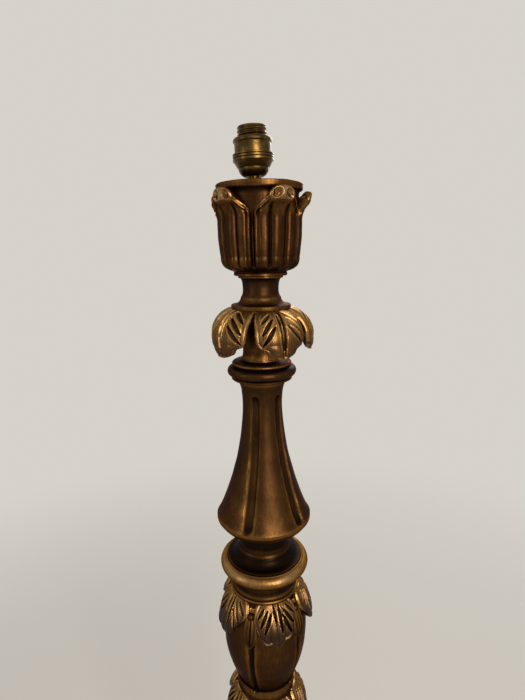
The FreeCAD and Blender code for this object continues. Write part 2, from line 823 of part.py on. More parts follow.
cover_screws = new_body("cover_screws")
cover_screw_top = "cover_thickness + cover_screw_bite"
revolve(cover_screws, [
    ("0", "-cover_screw_cap"), ("cover_screw_crown", "-cover_screw_cap"),
    ("cover_screw_head", "0", "cover_screw_round"), ("cover_screw_radius", "0"),
    ("cover_screw_radius", cover_screw_top), ("0", cover_screw_top)],
    axis="cover_screw_circle")
repeat(cover_screws, cover_screws.Tip, "foot_count")
place(cover_screws, "%s + cover_rebate_depth - cover_thickness" % plinth_z)

tube_hole = "tube_radius + thread_gap"
bottom_washer = new_body("bottom_washer")
revolve(bottom_washer, [(tube_hole, "0"), ("washer_radius", "0"),
                        ("washer_radius", "washer_thickness"), (tube_hole, "washer_thickness")])
place(bottom_washer, "%s - washer_thickness" % ceiling_z)

bottom_nut = new_body("bottom_nut")
nut_sketch = new_sketch(bottom_nut, "hexagon", "XY_Plane")
draw(nut_sketch, [("nut_corner_radius * cos(%d)" % (60 * corner),
                   "nut_corner_radius * sin(%d)" % (60 * corner)) for corner in range(6)])
draw_circle(nut_sketch, "0", "0", tube_hole)
extrude(bottom_nut, "Pad", nut_sketch, "nut_height")
place(bottom_nut, "%s - washer_thickness - nut_height" % ceiling_z)

bush = new_body("cable_bush")
revolve(bush, [("bush_bore", "-bush_length"), ("bush_radius", "-bush_length"),
               ("bush_radius", "0"), ("bush_flange_radius", "0"),
               ("bush_flange_radius", "bush_flange - bush_edge"),
               ("bush_flange_radius - bush_edge", "bush_flange"),
               ("bush_bore", "bush_flange")])
bush.Placement = FreeCAD.Placement(
    FreeCAD.Vector(0, value("plinth_radius - bush_recess"),
                   value("%s + bush_height" % plinth_z)),
    FreeCAD.Rotation(FreeCAD.Vector(1, 0, 0), -90))

dome = new_body("base_dome")
belly = ("dome_belly_radius", "dome_belly_height", "dome_belly_round")
dome_shoulder = ("dome_radius - dome_step", "dome_edge + dome_step")
revolve(dome, [
    ("bore_radius", "-dome_spigot_length"), ("dome_spigot_radius", "-dome_spigot_length"),
    ("dome_spigot_radius", "0"), ("dome_radius", "0"), ("dome_radius", "dome_edge"),
    ("dome_radius - dome_step", "dome_edge"), dome_shoulder, belly,
    ("dome_neck_radius", "dome_neck_height", "-dome_neck_hollow"),
    ("dome_neck_radius", "dome_height"), (socket_radius, "dome_height"),
    (socket_radius, "dome_height - %s" % socket_depth),
    ("bore_radius", "dome_height - %s" % socket_depth)])
place(dome, dome_z)

base_cushion = section("base_cushion", [
    ("base_fillet_radius", "0"), ("base_fillet_radius", "base_fillet_height"),
    ("base_cove_radius", "base_fillet_height"),
    ("base_cove_radius", "base_cove_height", "-base_cove_hollow"),
    ("base_torus_low_radius", "base_torus_low"),
    ("base_torus_high_radius", "base_torus_high", "base_torus_round"),
    ("base_line_radius", "base_torus_high"),
    ("base_crown_radius", "base_crown_height", "-base_crown_hollow"),
    ("base_crown_neck_radius", "base_cushion_height")], "base_cushion_height")
place(base_cushion, base_cushion_z)

lower_trumpet = section("lower_trumpet", [
    ("lower_neck_radius", "0"), ("lower_neck_radius", "lower_neck_height"),
    ("lower_under_radius", "lower_under_height"),
    ("lower_lip_radius", "lower_lip_height", "lower_lip_under_round"),
    ("lower_flank_radius", "lower_flank_height", "lower_lip_round"),
    ("lower_waist_radius", "lower_waist_height", "-lower_flank_hollow"),
    ("lower_top_radius", "lower_trumpet_height", "-lower_waist_hollow")],
    "lower_trumpet_height")
gouge(lower_trumpet, "flute", [
    ("lower_waist_radius", "lower_waist_height"),
    ("lower_flank_radius", "lower_flank_height", "lower_flank_hollow")],
    "flute_radius", "flute_depth")
place(lower_trumpet, lower_trumpet_z, "trumpet_turn")

lower_rings = section("lower_rings", [
    ("lower_ring_radius", "0"), ("lower_ring_radius", "lower_ring_height"),
    ("lower_bead_radius", "lower_bead_low"),
    ("lower_bead_radius", "lower_bead_high", "lower_bead_round"),
    ("lower_step_radius", "lower_step_low"), ("lower_step_radius", "lower_step_high"),
    ("lower_seat_radius", "lower_rings_height")], "lower_rings_height")
place(lower_rings, lower_rings_z)

# ---------------------------------------------------------------- column and vase


def leafy_section(name, foot_points, core_points, top, leaf_top, flute):
    """A turned section with a ring of carved leaves lying on it and flutes below them."""
    body = new_body(name)
    leaf_wall(body, name, leaf_top)
    leaf_gaps(body, name, leaf_top)
    revolve(body, [("bore_radius", "-spigot_length"), ("spigot_radius", "-spigot_length"),
                   ("spigot_radius", "0")] + foot_points + core_points +
            [(socket_radius, top), (socket_radius, "%s - %s" % (top, socket_depth)),
             ("bore_radius", "%s - %s" % (top, socket_depth))])
    leaf_ribs(body, name, leaf_top)
    gouge(body, "flute", flute, "flute_radius", "flute_depth")
    return body


column = leafy_section(
    "column",
    [("column_foot_radius", "0"), ("column_foot_bead_radius", "column_foot_bead_low"),
     ("column_foot_bead_radius", "column_foot_bead_high", "column_foot_round"),
     ("column_foot_neck", "column_foot_neck_height")],
    [("column_belly_radius", "column_belly_height"),
     ("column_shoulder_radius", "column_shoulder_height", "column_shoulder_round"),
     ("column_top_radius", "column_height", "-column_neck_hollow")],
    "column_height", "column_shoulder_height",
    [("column_foot_neck", "column_foot_neck_height"),
     ("column_belly_radius", "column_belly_height")])
place(column, column_z, "column_turn")

vase = leafy_section(
    "vase",
    [("vase_fillet_radius", "0"), ("vase_fillet_radius", "vase_fillet_height"),
     ("vase_foot_radius", "vase_foot_height")],
    [("vase_belly_radius", "vase_belly_height", "vase_belly_round"),
     ("vase_shoulder_radius", "vase_shoulder_height", "vase_shoulder_round"),
     ("vase_lip_neck", "vase_height - vase_lip_height"),
     ("vase_lip_radius", "vase_height - vase_lip_height"),
     ("vase_lip_radius", "vase_height")],
    "vase_height", "(vase_height - vase_lip_height)",
    [("vase_foot_radius", "vase_foot_height + flute_start"),
     ("vase_belly_radius", "vase_belly_height + vase_flute_rise", "vase_belly_round")])
place(vase, vase_z, "vase_turn")

cushion = section("cushion_ring", [
    ("cushion_foot_radius", "0"),
    ("cushion_cove_radius", "cushion_cove_height", "-cushion_cove_hollow"),
    ("cushion_torus_low_radius", "cushion_torus_low", "-cushion_under_round"),
    ("cushion_torus_high_radius", "cushion_torus_high", "cushion_torus_round"),
    ("cushion_line_radius", "cushion_line_height"),
    ("cushion_crown_radius", "cushion_crown_height", "-cushion_crown_hollow"),
    ("trumpet_neck_radius", "cushion_height")], "cushion_height")
place(cushion, cushion_z)

trumpet = section("trumpet", [
    ("trumpet_neck_radius", "0"), ("trumpet_neck_radius", "trumpet_neck_height"),
    ("trumpet_under_radius", "trumpet_under_height"),
    ("trumpet_lip_radius", "trumpet_lip_height", "trumpet_lip_under_round"),
    ("trumpet_flank_radius", "trumpet_flank_height", "trumpet_lip_round"),
    ("trumpet_middle_radius", "trumpet_middle_height", "-trumpet_flank_hollow"),
    ("trumpet_waist_radius", "trumpet_waist_height", "-trumpet_middle_hollow"),
    ("trumpet_top_radius", "trumpet_height", "-trumpet_waist_hollow")], "trumpet_height")
gouge(trumpet, "flute", [
    ("trumpet_waist_radius", "trumpet_waist_height"),
    ("trumpet_middle_radius", "trumpet_middle_height", "trumpet_middle_hollow"),
    ("trumpet_flank_radius", "trumpet_flank_height", "trumpet_flank_hollow")],
    "flute_radius", "flute_depth")
place(trumpet, trumpet_z, "trumpet_turn")

rings = section("ring_stack", [
    ("ring_radius", "0"), ("ring_radius", "ring_height"), ("bead_radius", "bead_low"),
    ("bead_radius", "bead_high", "bead_round"), ("step_radius", "step_low"),
    ("step_radius", "step_high", "step_round"), ("rings_top_radius", "rings_height")],
    "rings_height")
place(rings, rings_z)

collar = new_body("leaf_collar")
leaf_wall(collar, "collar", "collar_height")
leaf_gaps(collar, "collar", "collar_height")
collar_floor = "collar_height - %s" % socket_depth
revolve(collar, [
    ("bore_radius", "-spigot_length"), ("spigot_radius", "-spigot_length"),
    ("spigot_radius", "0"), ("collar_core_foot", "0"),
    ("collar_core_radius", "collar_leaf_tip_height", "-collar_core_hollow"),
    ("collar_core_radius", "collar_height - collar_root_drop"),
    ("collar_top_radius - collar_root_inset", "collar_height - collar_root_edge",
     "-collar_root_hollow"),
    ("collar_top_radius - collar_root_inset", "collar_height"), (socket_radius, "collar_height"),
    (socket_radius, collar_floor), ("bore_radius", collar_floor)])
leaf_ribs(collar, "collar", "collar_height")
place(collar, collar_z, "collar_turn")

neck = section("neck_spool", [
    ("neck_flange_radius - neck_flange_low", "0"), ("neck_flange_radius", "neck_flange_low"),
    ("neck_flange_radius", "neck_flange_high"), ("neck_flare_radius", "neck_flare_height"),
    ("neck_waist_radius", "neck_waist_height", "-neck_flare_hollow"),
    ("neck_collar_radius", "neck_collar_height", "-neck_rise_hollow"),
    ("neck_top_radius", "neck_collar_height + neck_lip_rise"), ("neck_top_radius", "neck_height")],
    "neck_height", bore="neck_bore_radius")
place(neck, neck_z)

# ---------------------------------------------------------------- candle cup

cup = new_body("candle_cup")
revolve(cup, [
    ("wide_bore_radius", "-spigot_length"), ("spigot_radius", "-spigot_length"),
    ("spigot_radius", "0"), ("cup_foot_radius", "0"), ("cup_foot_radius", "cup_foot_height"),
    ("cup_root_radius", "cup_root_height"),
    ("cup_side_radius", "cup_side_height", "cup_bowl_round"),
    ("cup_petal_radius", "cup_petal_height", "cup_wall_round"),
    ("cup_tip_radius", "cup_tip_height", "-cup_curl_hollow"),
    ("cup_tip_top_radius", "cup_tip_top_height", "cup_tip_round"),
    ("cup_band_radius", "cup_band_foot"), ("cup_rim_radius", "cup_height"),
    ("cup_rim_inner", "cup_height"), ("cup_rim_inner - cup_dish", "cup_height - cup_dish"),
    ("wide_bore_radius", "cup_height - cup_dish")])
petal_gap = new_sketch(cup, "petal_gap", "YZ_Plane", offset="cup_core_radius")
draw(petal_gap, [
    ("-petal_gap_low", "petal_gap_foot", "-petal_gap_round"),
    ("petal_gap_low", "petal_gap_foot"),
    ("petal_gap_half", "cup_band_foot", "-petal_gap_round"),
    ("-petal_gap_half", "cup_band_foot")])
repeat(cup, extrude(cup, "Pocket", petal_gap, "cup_tip_radius", backwards=True))
petal_grooves = new_sketch(cup, "petal_grooves", "XY_Plane", offset="groove_foot")
draw_circle(petal_grooves, "petal_groove_circle", "0", "petal_groove_radius")
for side in ("", "-"):
    draw_circle(petal_grooves, "panel_groove_circle * cos(panel_groove_angle)",
                "%spanel_groove_circle * sin(panel_groove_angle)" % side,
                "panel_groove_radius")
repeat(cup, extrude(cup, "Pocket", petal_grooves, "petal_gap_foot - groove_foot",
                    backwards=True))
place(cup, cup_z, "cup_turn")

# ---------------------------------------------------------------- tube and top nut

tube = new_body("tie_tube")
tube_foot = "(%s - washer_thickness - nut_height - tube_tail)" % ceiling_z
tube_path = new_sketch(tube, "path", "XZ_Plane")
lean_end = "(%s + holder_rise + tube_engagement)" % seat_along
half_bend = "bend_radius * tan(tube_lean / 2)"
draw(tube_path, [
    ("0", tube_foot), ("0", "%s - %s" % (bend_z, half_bend)),
    ("-%s * sin(tube_lean)" % half_bend, "%s + %s * cos(tube_lean)" % (bend_z, half_bend),
     "bend_radius * (1 - cos(tube_lean / 2))"),
    ("-%s * sin(tube_lean)" % lean_end, "%s + %s * cos(tube_lean)" % (bend_z, lean_end))],
    closed=False)
tube_section = new_sketch(tube, "section", "XY_Plane", offset=tube_foot)
draw_circle(tube_section, "0", "0", "tube_radius")
draw_circle(tube_section, "0", "0", "tube_bore")
tube_pipe = tube.newObject("PartDesign::AdditivePipe", "tube_pipe")
tube_pipe.Profile = tube_section
tube_pipe.Spine = (tube_path, ["Edge1", "Edge2", "Edge3"])
doc.recompute()

top_washer = new_body("top_washer")
revolve(top_washer, [(tube_hole, "0"), ("top_washer_radius", "0"),
                     ("top_washer_radius", "top_washer_thickness"),
                     (tube_hole, "top_washer_thickness")])
washer_lift = "(top_washer_radius * sin(tube_lean) - cup_dish)"
place_leaning(top_washer, "%s + %s" % (seat_along, washer_lift))

knurled_nut = new_body("knurled_nut")
knurl_low = "knurl_radius - knurl_bevel"
revolve(knurled_nut, [
    (tube_hole, "0"), (knurl_low, "0"), ("knurl_radius", "knurl_bevel"),
    ("knurl_radius", "knurl_height - knurl_bevel"), (knurl_low, "knurl_height"),
    (tube_hole, "knurl_height")])
knurl = new_sketch(knurled_nut, "knurl", "XY_Plane")
knurl_out = "knurl_radius + cut_overrun"
draw(knurl, [("knurl_radius - knurl_cut", "0"), (knurl_out, "-knurl_cut"),
             (knurl_out, "knurl_cut")])
repeat(knurled_nut, extrude(knurled_nut, "Pocket", knurl, "knurl_height", backwards=True),
       "knurl_count")
place_leaning(knurled_nut, "%s + %s + top_washer_thickness" % (seat_along, washer_lift))

# ---------------------------------------------------------------- bulb holder

holder_along = "(%s + holder_rise)" % seat_along

cap = new_body("holder_cap")
bead_step = "((cap_bead_top - cap_bead_foot) / 3)"
groove_low = "cap_bead_foot + %s" % bead_step
groove_high = "cap_bead_top - %s" % bead_step
cap_inside = "(barrel_radius + barrel_gap)"
cap_groove_floor = "cap_bead_radius - cap_groove"
revolve(cap, [
    (tube_hole, "0"), ("cap_foot_radius", "0"),
    ("cap_side_radius", "cap_side_height", "dome_cap_round"),
    ("cap_side_radius + cap_notch", "cap_side_height + cap_notch_height"),
    ("cap_skirt_radius", "cap_bead_foot"),
    ("cap_bead_radius", "cap_bead_foot + cap_bead_edge"),
    ("cap_bead_radius", groove_low),
    (cap_groove_floor, "%s + cap_groove_half" % groove_low),
    ("cap_bead_radius", "%s + 2 * cap_groove_half" % groove_low),
    ("cap_bead_radius", groove_high),
    (cap_groove_floor, "%s + cap_groove_half" % groove_high),
    ("cap_bead_radius", "%s + 2 * cap_groove_half" % groove_high),
    ("cap_bead_radius", "cap_bead_top - cap_bead_edge"),
    ("cap_bead_radius - cap_lip_edge", "cap_bead_top"), (cap_inside, "cap_bead_top"),
    (cap_inside, "barrel_foot - cap_shoulder_drop"),
    ("cap_side_radius - cap_wall", "cap_side_height + cap_shoulder_drop"),
    ("cap_foot_radius - cap_foot_inset", "cap_wall", "-cap_inside_round"),
    ("cap_boss_radius", "cap_wall"), ("cap_boss_radius", "cap_boss_height"),
    (tube_hole, "cap_boss_height")])
place_leaning(cap, holder_along)

barrel = new_body("holder_barrel")
mouth = "(shell_radius + barrel_mouth_gap)"
inner = "(barrel_radius - barrel_wall)"
revolve(barrel, [
    (inner, "barrel_foot"), ("barrel_radius", "barrel_foot"),
    ("barrel_radius", "barrel_bead_low"),
    ("barrel_bead_radius", "barrel_bead_low + barrel_bead_round"),
    ("barrel_bead_radius", "barrel_bead_high - barrel_wall", "barrel_bead_round"),
    ("barrel_bead_radius - barrel_wall", "barrel_bead_high"), (mouth, "barrel_bead_high"),
    (mouth, "barrel_bead_high - barrel_wall"), (inner, "barrel_bead_high - barrel_wall")])
place_leaning(barrel, holder_along)

shell = new_body("screw_shell")
revolve(shell, [
    ("shell_radius - shell_wall", "shell_foot"), ("shell_radius", "shell_foot"),
    ("shell_radius", "shell_top"), ("shell_radius - shell_wall", "shell_top")])
place_leaning(shell, holder_along)

core = new_body("porcelain_core")
core_radius = "(%s - core_gap)" % inner
revolve(core, [
    ("0", "core_foot"), (core_radius, "core_foot"), (core_radius, "shell_foot"),
    ("core_well_radius", "shell_foot"), ("core_well_radius", "core_well_floor"),
    ("0", "core_well_floor")])
hole(core, "terminal_holes", "XY_Plane", "core_foot", "terminal_spread", "0",
     "terminal_screw_radius + screw_gap", "terminal_screw_bite + screw_gap", "2",
     backwards=True)
place_leaning(core, holder_along)

contact_foot = new_body("contact_foot")
foot_plan = new_sketch(contact_foot, "plan", "XY_Plane", offset="core_well_floor")
foot_end = "-contact_root - contact_foot_length"
draw(foot_plan, [(foot_end, "-contact_width / 2"), ("-contact_root", "-contact_width / 2"),
                 ("-contact_root", "contact_width / 2"), (foot_end, "contact_width / 2")])
extrude(contact_foot, "Pad", foot_plan, "contact_strip")
rivet = new_sketch(contact_foot, "rivet", "XY_Plane", offset="core_well_floor")
draw_circle(rivet, "-contact_root - contact_foot_length / 2", "0", "contact_rivet_radius")
extrude(contact_foot, "Pad", rivet, "contact_strip + contact_rivet_head")
place_leaning(contact_foot, holder_along)

tongue = new_body("contact_tongue")
tongue_side = new_sketch(tongue, "side", "XZ_Plane", offset="-contact_width / 2")
low = "core_well_floor + contact_gap"
slope_top = "contact_reach - contact_root"
draw(tongue_side, [
    ("-contact_root + contact_gap", low),
    (slope_top, "%s + contact_rise" % low),
    ("%s + contact_tip" % slope_top, "%s + contact_rise" % low),
    ("%s + contact_tip" % slope_top, "%s + contact_rise + contact_strip" % low),
    ("%s - contact_knee" % slope_top, "%s + contact_rise + contact_strip" % low),
    ("-contact_root + contact_gap", "%s + contact_strip" % low)])
extrude(tongue, "Pad", tongue_side, "contact_width")
place_leaning(tongue, holder_along)

terminals = new_body("terminal_screws")
terminal_foot = "core_foot - terminal_head"
revolve(terminals, [
    ("0", terminal_foot), ("terminal_head_radius", terminal_foot),
    ("terminal_head_radius", "core_foot"), ("terminal_screw_radius", "core_foot"),
    ("terminal_screw_radius", "core_foot + terminal_screw_bite"),
    ("0", "core_foot + terminal_screw_bite")], axis="terminal_spread")
repeat(terminals, terminals.Tip, "2")
place_leaning(terminals, holder_along)

# ---------------------------------------------------------------- check and write

doc.recompute()
for item in doc.Objects:
    if "Invalid" in item.State or "Error" in item.State:
        raise RuntimeError("%s: %s" % (item.Name, item.State))

os.makedirs("parts", exist_ok=True)
for body in doc.Objects:
    if body.TypeId != "PartDesign::Body":
        continue
    shape = body.Shape
    if shape.isNull() or not shape.isValid():
        raise RuntimeError(body.Label + " has no valid shape")
    print("%-16s solids %d  volume %9.0f" % (body.Label, len(shape.Solids), shape.Volume))
    shape.exportStep("parts/%s.step" % body.Label)
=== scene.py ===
# %% [markdown]
# # Candlestick floor lamp
# The real lamp is a stack of turned wooden sections with carved leaves, stained dark and
# rubbed with bronze gilding wax, and a brass bulb holder on top. This lesson dresses the
# measured frame of that lamp: it loads the frame, turns each wooden section again with
# its finer forms, carves it, and gives every surface the finish of the real thing.
#
# Sizes are in millimetres, as on a workshop drawing, and become metres where a mesh is
# written. Front is towards -Y, and the lamp's axis is the Z axis.

import math

import bpy
import numpy as np
from mathutils import Matrix, Vector


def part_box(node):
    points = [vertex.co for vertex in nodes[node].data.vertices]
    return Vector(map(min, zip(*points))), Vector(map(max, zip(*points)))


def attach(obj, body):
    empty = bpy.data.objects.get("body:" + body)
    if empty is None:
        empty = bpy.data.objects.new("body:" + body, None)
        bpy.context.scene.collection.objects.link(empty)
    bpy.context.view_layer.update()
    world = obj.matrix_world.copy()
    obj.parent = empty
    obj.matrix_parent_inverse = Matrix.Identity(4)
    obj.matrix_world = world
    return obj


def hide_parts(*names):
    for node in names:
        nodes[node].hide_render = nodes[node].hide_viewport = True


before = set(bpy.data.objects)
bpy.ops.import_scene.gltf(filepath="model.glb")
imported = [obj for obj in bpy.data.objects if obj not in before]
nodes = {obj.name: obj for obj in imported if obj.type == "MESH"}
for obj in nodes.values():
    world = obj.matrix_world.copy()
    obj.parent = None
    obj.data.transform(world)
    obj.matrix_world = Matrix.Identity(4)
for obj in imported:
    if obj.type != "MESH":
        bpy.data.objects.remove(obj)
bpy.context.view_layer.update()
MM = 0.001

# %% [markdown]
# ## Colours and nodes
# A paint chart gives colours as sRGB hex values, but a shader adds light up in linear
# values, so one function turns the first into the second. A second small function adds a
# node, sets it and links it. With it each finish below reads as a short recipe, from the
# coordinates at the top to the surface at the bottom.


# %% Colours
def linear(code):
    """A linear RGBA colour from an sRGB hex value."""
    parts = [int(code[spot:spot + 2], 16) / 255 for spot in (1, 3, 5)]
    return tuple([((part + 0.055) / 1.055) ** 2.4 if part > 0.04045 else part / 12.92
                  for part in parts] + [1.0])


print("mid grey in linear light", round(linear("#808080")[0], 3))


# %% Nodes
def add(finish, kind, settings=(), links=(), out=0):
    """Add one shader node with its settings and links, and give back one output."""
    made = finish.node_tree.nodes.new("ShaderNode" + kind)
    for key, setting in dict(settings).items():
        if key == "stops":
            stops = made.color_ramp.elements
            for number, (position, code) in enumerate(setting):
                stop = stops[number] if number < len(stops) else stops.new(position)
                stop.position, stop.color = position, linear(code)
        elif hasattr(made, str(key)):
            setattr(made, key, setting)
        else:
            made.inputs[key].default_value = setting
    for key, source in dict(links).items():
        finish.node_tree.links.new(source, made.inputs[key])
    return made.outputs[out] if len(made.outputs) else made


def new_finish(name):
    """An empty node material, ready for its recipe."""
    finish = bpy.data.materials.new(name)
    finish.use_nodes = True
    finish.node_tree.nodes.clear()
    return finish


# %% [markdown]
# ## Gilding wax over stained wood
# The wood is stained and sealed, painted with a brown-black glaze and wiped, and then
# rubbed with a cloth of bronze gilding wax. Two things decide what a spot looks like: a
# cloth leaves wax on what stands proud, and glaze stays in the cuts. A picture texture
# could hold that, but it wouldn't follow the carving. Here each carved piece carries two
# numbers at every point of its mesh instead:
# - relief, how far the spot stands above the surface round it, with 0.5 as level;
# - wax and painted light, how much more or less the polisher gave this part of the lamp,
#   and on some parts a painted highlight or painted shade for how the light falls there.
#
# The recipe adds clouds and brush marks to them and looks the sum up in a colour ramp,
# from bare glaze to thick wax. Wax is bronze powder, so the surface is nearly a metal, a
# little less so where the stained wood shows. Its edge tint is held back to a warm grey,
# because a waxed surface doesn't flash white at a grazing angle as clean metal does.

# %% Sizes in the wax
CLOUD_MM = 22      # where the cloth was pressed more or less
BRUSH_MM = 1.6     # brush marks of the glaze; real ones are finer and wouldn't show
SPECK_MM = 0.9     # pores of the wood that the wax skipped
DRAWN_OUT = 0.14   # brush marks run up the lamp, seven times as long as they are wide
SKIN_M = 0.0003    # how deep pores and brush marks are, for the bump
RELIEF_SHARE, CLOUD_SHARE, BRUSH_SHARE = 0.55, 0.36, 0.3   # how much each counts
EDGE_TINT = "#a09080"
WAX_METAL = (0.82, 0.96)
print("cloud, brush mark and speck in mm", CLOUD_MM, BRUSH_MM, SPECK_MM)


# %% The wax recipe
def bronzed(name, stops, glaze, rub, rough, varnish=0.0):
    """Glazed wood rubbed with gilding wax: colours from the ground to bare wax."""
    finish = new_finish(name)
    place = add(finish, "TexCoord", out="Object")
    relief = add(finish, "Attribute", {"attribute_name": "relief"}, out="Fac")
    wax_and_painted_light = add(finish, "Attribute", {"attribute_name": "wax_and_painted_light"}, out="Fac")
    drawn = add(finish, "Mapping", {"Scale": (1, 1, DRAWN_OUT)}, {"Vector": place})
    cloud = add(finish, "TexNoise", {"Scale": 1 / (CLOUD_MM * MM), "Detail": 4,
                                     "Roughness": 0.5}, {"Vector": place})
    brush = add(finish, "TexNoise", {"Scale": 1 / (BRUSH_MM * MM), "Detail": 3,
                                     "Roughness": 0.6}, {"Vector": drawn})
    speck = add(finish, "TexNoise", {"Scale": 1 / (SPECK_MM * MM), "Detail": 2,
                                     "Roughness": 0.7}, {"Vector": place})
    # each of the three is 0.5 on average, and there the sum is to be rub
    level = rub - (RELIEF_SHARE + CLOUD_SHARE + BRUSH_SHARE) / 2
    worn = add(finish, "Math", {"operation": "MULTIPLY_ADD", 1: RELIEF_SHARE, 2: level},
               {0: relief})
    for pattern, counts in ((cloud, CLOUD_SHARE), (brush, BRUSH_SHARE)):
        worn = add(finish, "Math", {"operation": "MULTIPLY_ADD", 1: counts},
                   {0: pattern, 2: worn})
    # the wax attribute also holds painted highlights and painted shade on some parts
    worn = add(finish, "Math", {"operation": "ADD"}, {0: wax_and_painted_light, 1: worn})
    colour = add(finish, "ValToRGB", {"stops": stops}, {0: worn})
    # glaze covers the cuts and fills the pores
    cut = add(finish, "MapRange",
              {"interpolation_type": "SMOOTHSTEP", "From Min": 0.2, "From Max": 0.45,
               "To Min": 0.85, "To Max": 0.0}, {"Value": relief})
    pores = add(finish, "MapRange",
                {"interpolation_type": "SMOOTHSTEP", "From Min": 0.28, "From Max": 0.35,
                 "To Min": 0.45, "To Max": 0.0}, {"Value": speck})
    for share in (cut, pores):
        colour = add(finish, "Mix", {"data_type": "RGBA", 7: linear(glaze)},
                     {0: share, 6: colour}, 2)
    metal = add(finish, "MapRange", {"From Min": 0.1, "From Max": 0.7,
                                     "To Min": WAX_METAL[0], "To Max": WAX_METAL[1]},
                {"Value": worn})
    # pressed wax shines a little more, and the glaze in a cut is dull
    gloss = add(finish, "MapRange", {"From Min": 0.3, "From Max": 0.7,
                                     "To Min": rough + 0.08, "To Max": rough - 0.03},
                {"Value": cloud})
    gloss = add(finish, "Math", {"operation": "MULTIPLY_ADD", 1: 0.22}, {0: cut, 2: gloss})
    skin = add(finish, "Math", {"operation": "MULTIPLY_ADD", 1: 0.6}, {0: brush, 2: speck})
    bump = add(finish, "Bump", {"Strength": 0.25, "Distance": SKIN_M}, {"Height": skin},
               "Normal")
    face = add(finish, "BsdfPrincipled",
               {"Specular Tint": linear(EDGE_TINT), "Coat Weight": varnish,
                "Coat Roughness": 0.16},
               {"Base Color": colour, "Metallic": metal, "Roughness": gloss,
                "Normal": bump})
    add(finish, "OutputMaterial", (), {"Surface": face})
    return finish


# %% [markdown]
# ## Three ways of waxing
# One recipe serves all the wood, with three sets of colours, because the polisher worked
# the parts differently. The turned sections are rubbed thinly while they spin, so they
# are an even mid-brown bronze. The hanging leaves are rubbed hard and then varnished, so
# they run from near black in the slashes to pale gold on the edges. The cup is left
# darkest, with wax only on its borders, and its tips carry a painted highlight.

# %% Waxed wood
# turned wood, thinly waxed: brown with a bronze sheen, lines where a quirk holds glaze
wood = bronzed("rubbed_bronze_on_turned_wood", [
    (0.0, "#140a04"), (0.3, "#402912"), (0.6, "#745128"), (1.0, "#c4a273")],
    "#120905", 0.22, 0.34)
# carved leaves, heavily waxed and varnished: strong contrast and small bright glints
gilded = bronzed("worn_gilding_on_carved_wood", [
    (0.0, "#1a0e06"), (0.3, "#4f3417"), (0.55, "#8f6a38"), (0.8, "#c29c64"),
    (1.0, "#e8d6b4")], "#120905", 0.31, 0.28, 0.2)
# carved cup, mostly bare glaze: dark brown panels with worn high spots, and a nearly cream
# top stop that paints the highlight on the rolled tips
cup_wood = bronzed("dark_glaze_on_carved_wood", [
    (0.0, "#120804"), (0.33, "#36200d"), (0.62, "#6a4721"), (1.0, "#dcc295")],
    "#0c0503", 0.3, 0.28)
print("wood finishes", wood.name, gilded.name, cup_wood.name)

# %% [markdown]
# ## Metals
# The bulb holder is spun brass, turned on a lathe and left to tarnish. Brass keeps its
# yellow under a brown film that comes in blotches, and fine lines left by the tool run
# round it. The other metals are made the same way with other colours and sizes, so one
# recipe serves them: two colours mixed by blotches of a real size, a little rougher where
# the film lies, and lines for the bump. A metal keeps the default IOR.


# %% The metal recipe
def metal_finish(name, clean, film, size_mm, rough, spread, grain_mm=0.05, share=1.0):
    """A metal with a film of tarnish in blotches of one real size."""
    finish = new_finish(name)
    place = add(finish, "TexCoord", out="Object")
    # stretched five times round the piece and pressed together up it: tool marks
    drawn = add(finish, "Mapping", {"Scale": (0.2, 0.2, 4)}, {"Vector": place})
    blotch = add(finish, "TexNoise", {"Scale": 1 / (size_mm * MM), "Detail": 5,
                                      "Roughness": 0.65}, {"Vector": place})
    lines = add(finish, "TexNoise", {"Scale": 1 / (size_mm * 0.12 * MM), "Detail": 2,
                                     "Roughness": 0.6}, {"Vector": drawn})
    both = add(finish, "Math", {"operation": "MULTIPLY_ADD", 1: 0.45}, {0: lines, 2: blotch})
    stain = add(finish, "MapRange", {"interpolation_type": "SMOOTHSTEP", "From Min": 0.55,
                                     "From Max": 0.9}, {"Value": both})
    colour = add(finish, "Mix", {"data_type": "RGBA", 6: linear(clean), 7: linear(film)},
                 {0: stain}, 2)
    gloss = add(finish, "MapRange", {"To Min": rough, "To Max": rough + spread},
                {"Value": stain})
    bump = add(finish, "Bump", {"Strength": 0.25, "Distance": grain_mm * MM},
               {"Height": lines}, "Normal")
    face = add(finish, "BsdfPrincipled", {"Metallic": share},
               {"Base Color": colour, "Roughness": gloss, "Normal": bump})
    add(finish, "OutputMaterial", (), {"Surface": face})
    return finish


# %% Metals of this lamp
# spun brass, tarnished: olive yellow with brown clouds and a long soft highlight
brass = metal_finish("tarnished_spun_brass", "#604a25", "#342714", 11, 0.3, 0.1)
# zinc-plated steel screws and nuts: cool grey, faintly mottled, half bright
zinc = metal_finish("zinc_plated_steel", "#b9bcc0", "#8f9398", 5, 0.32, 0.14)
# rolled phosphor-bronze strip of the contact: reddish, smooth and springy-bright
bronze_strip = metal_finish("rolled_spring_bronze", "#b98a52", "#8a6236", 4, 0.24, 0.12)
# sand-cast iron of the weight: dark, coarse and nearly dull
iron = metal_finish("sand_cast_iron", "#3a3a3c", "#29211c", 6, 0.58, 0.2, 1.0, 0.7)
print("metals", brass.name, zinc.name, bronze_strip.name, iron.name)

# %% [markdown]
# ## Felt, board, porcelain and nylon
# Pieces that no one sees still get the finish of their kind. None of them is one flat
# colour: two close colours mingle at the size of a tuft, a fibre or a cloud in the glaze,
# and the same pattern roughens the surface a little. The holder's insulator is glazed
# porcelain, whose pale, glassy look can be seen down inside the screw shell.


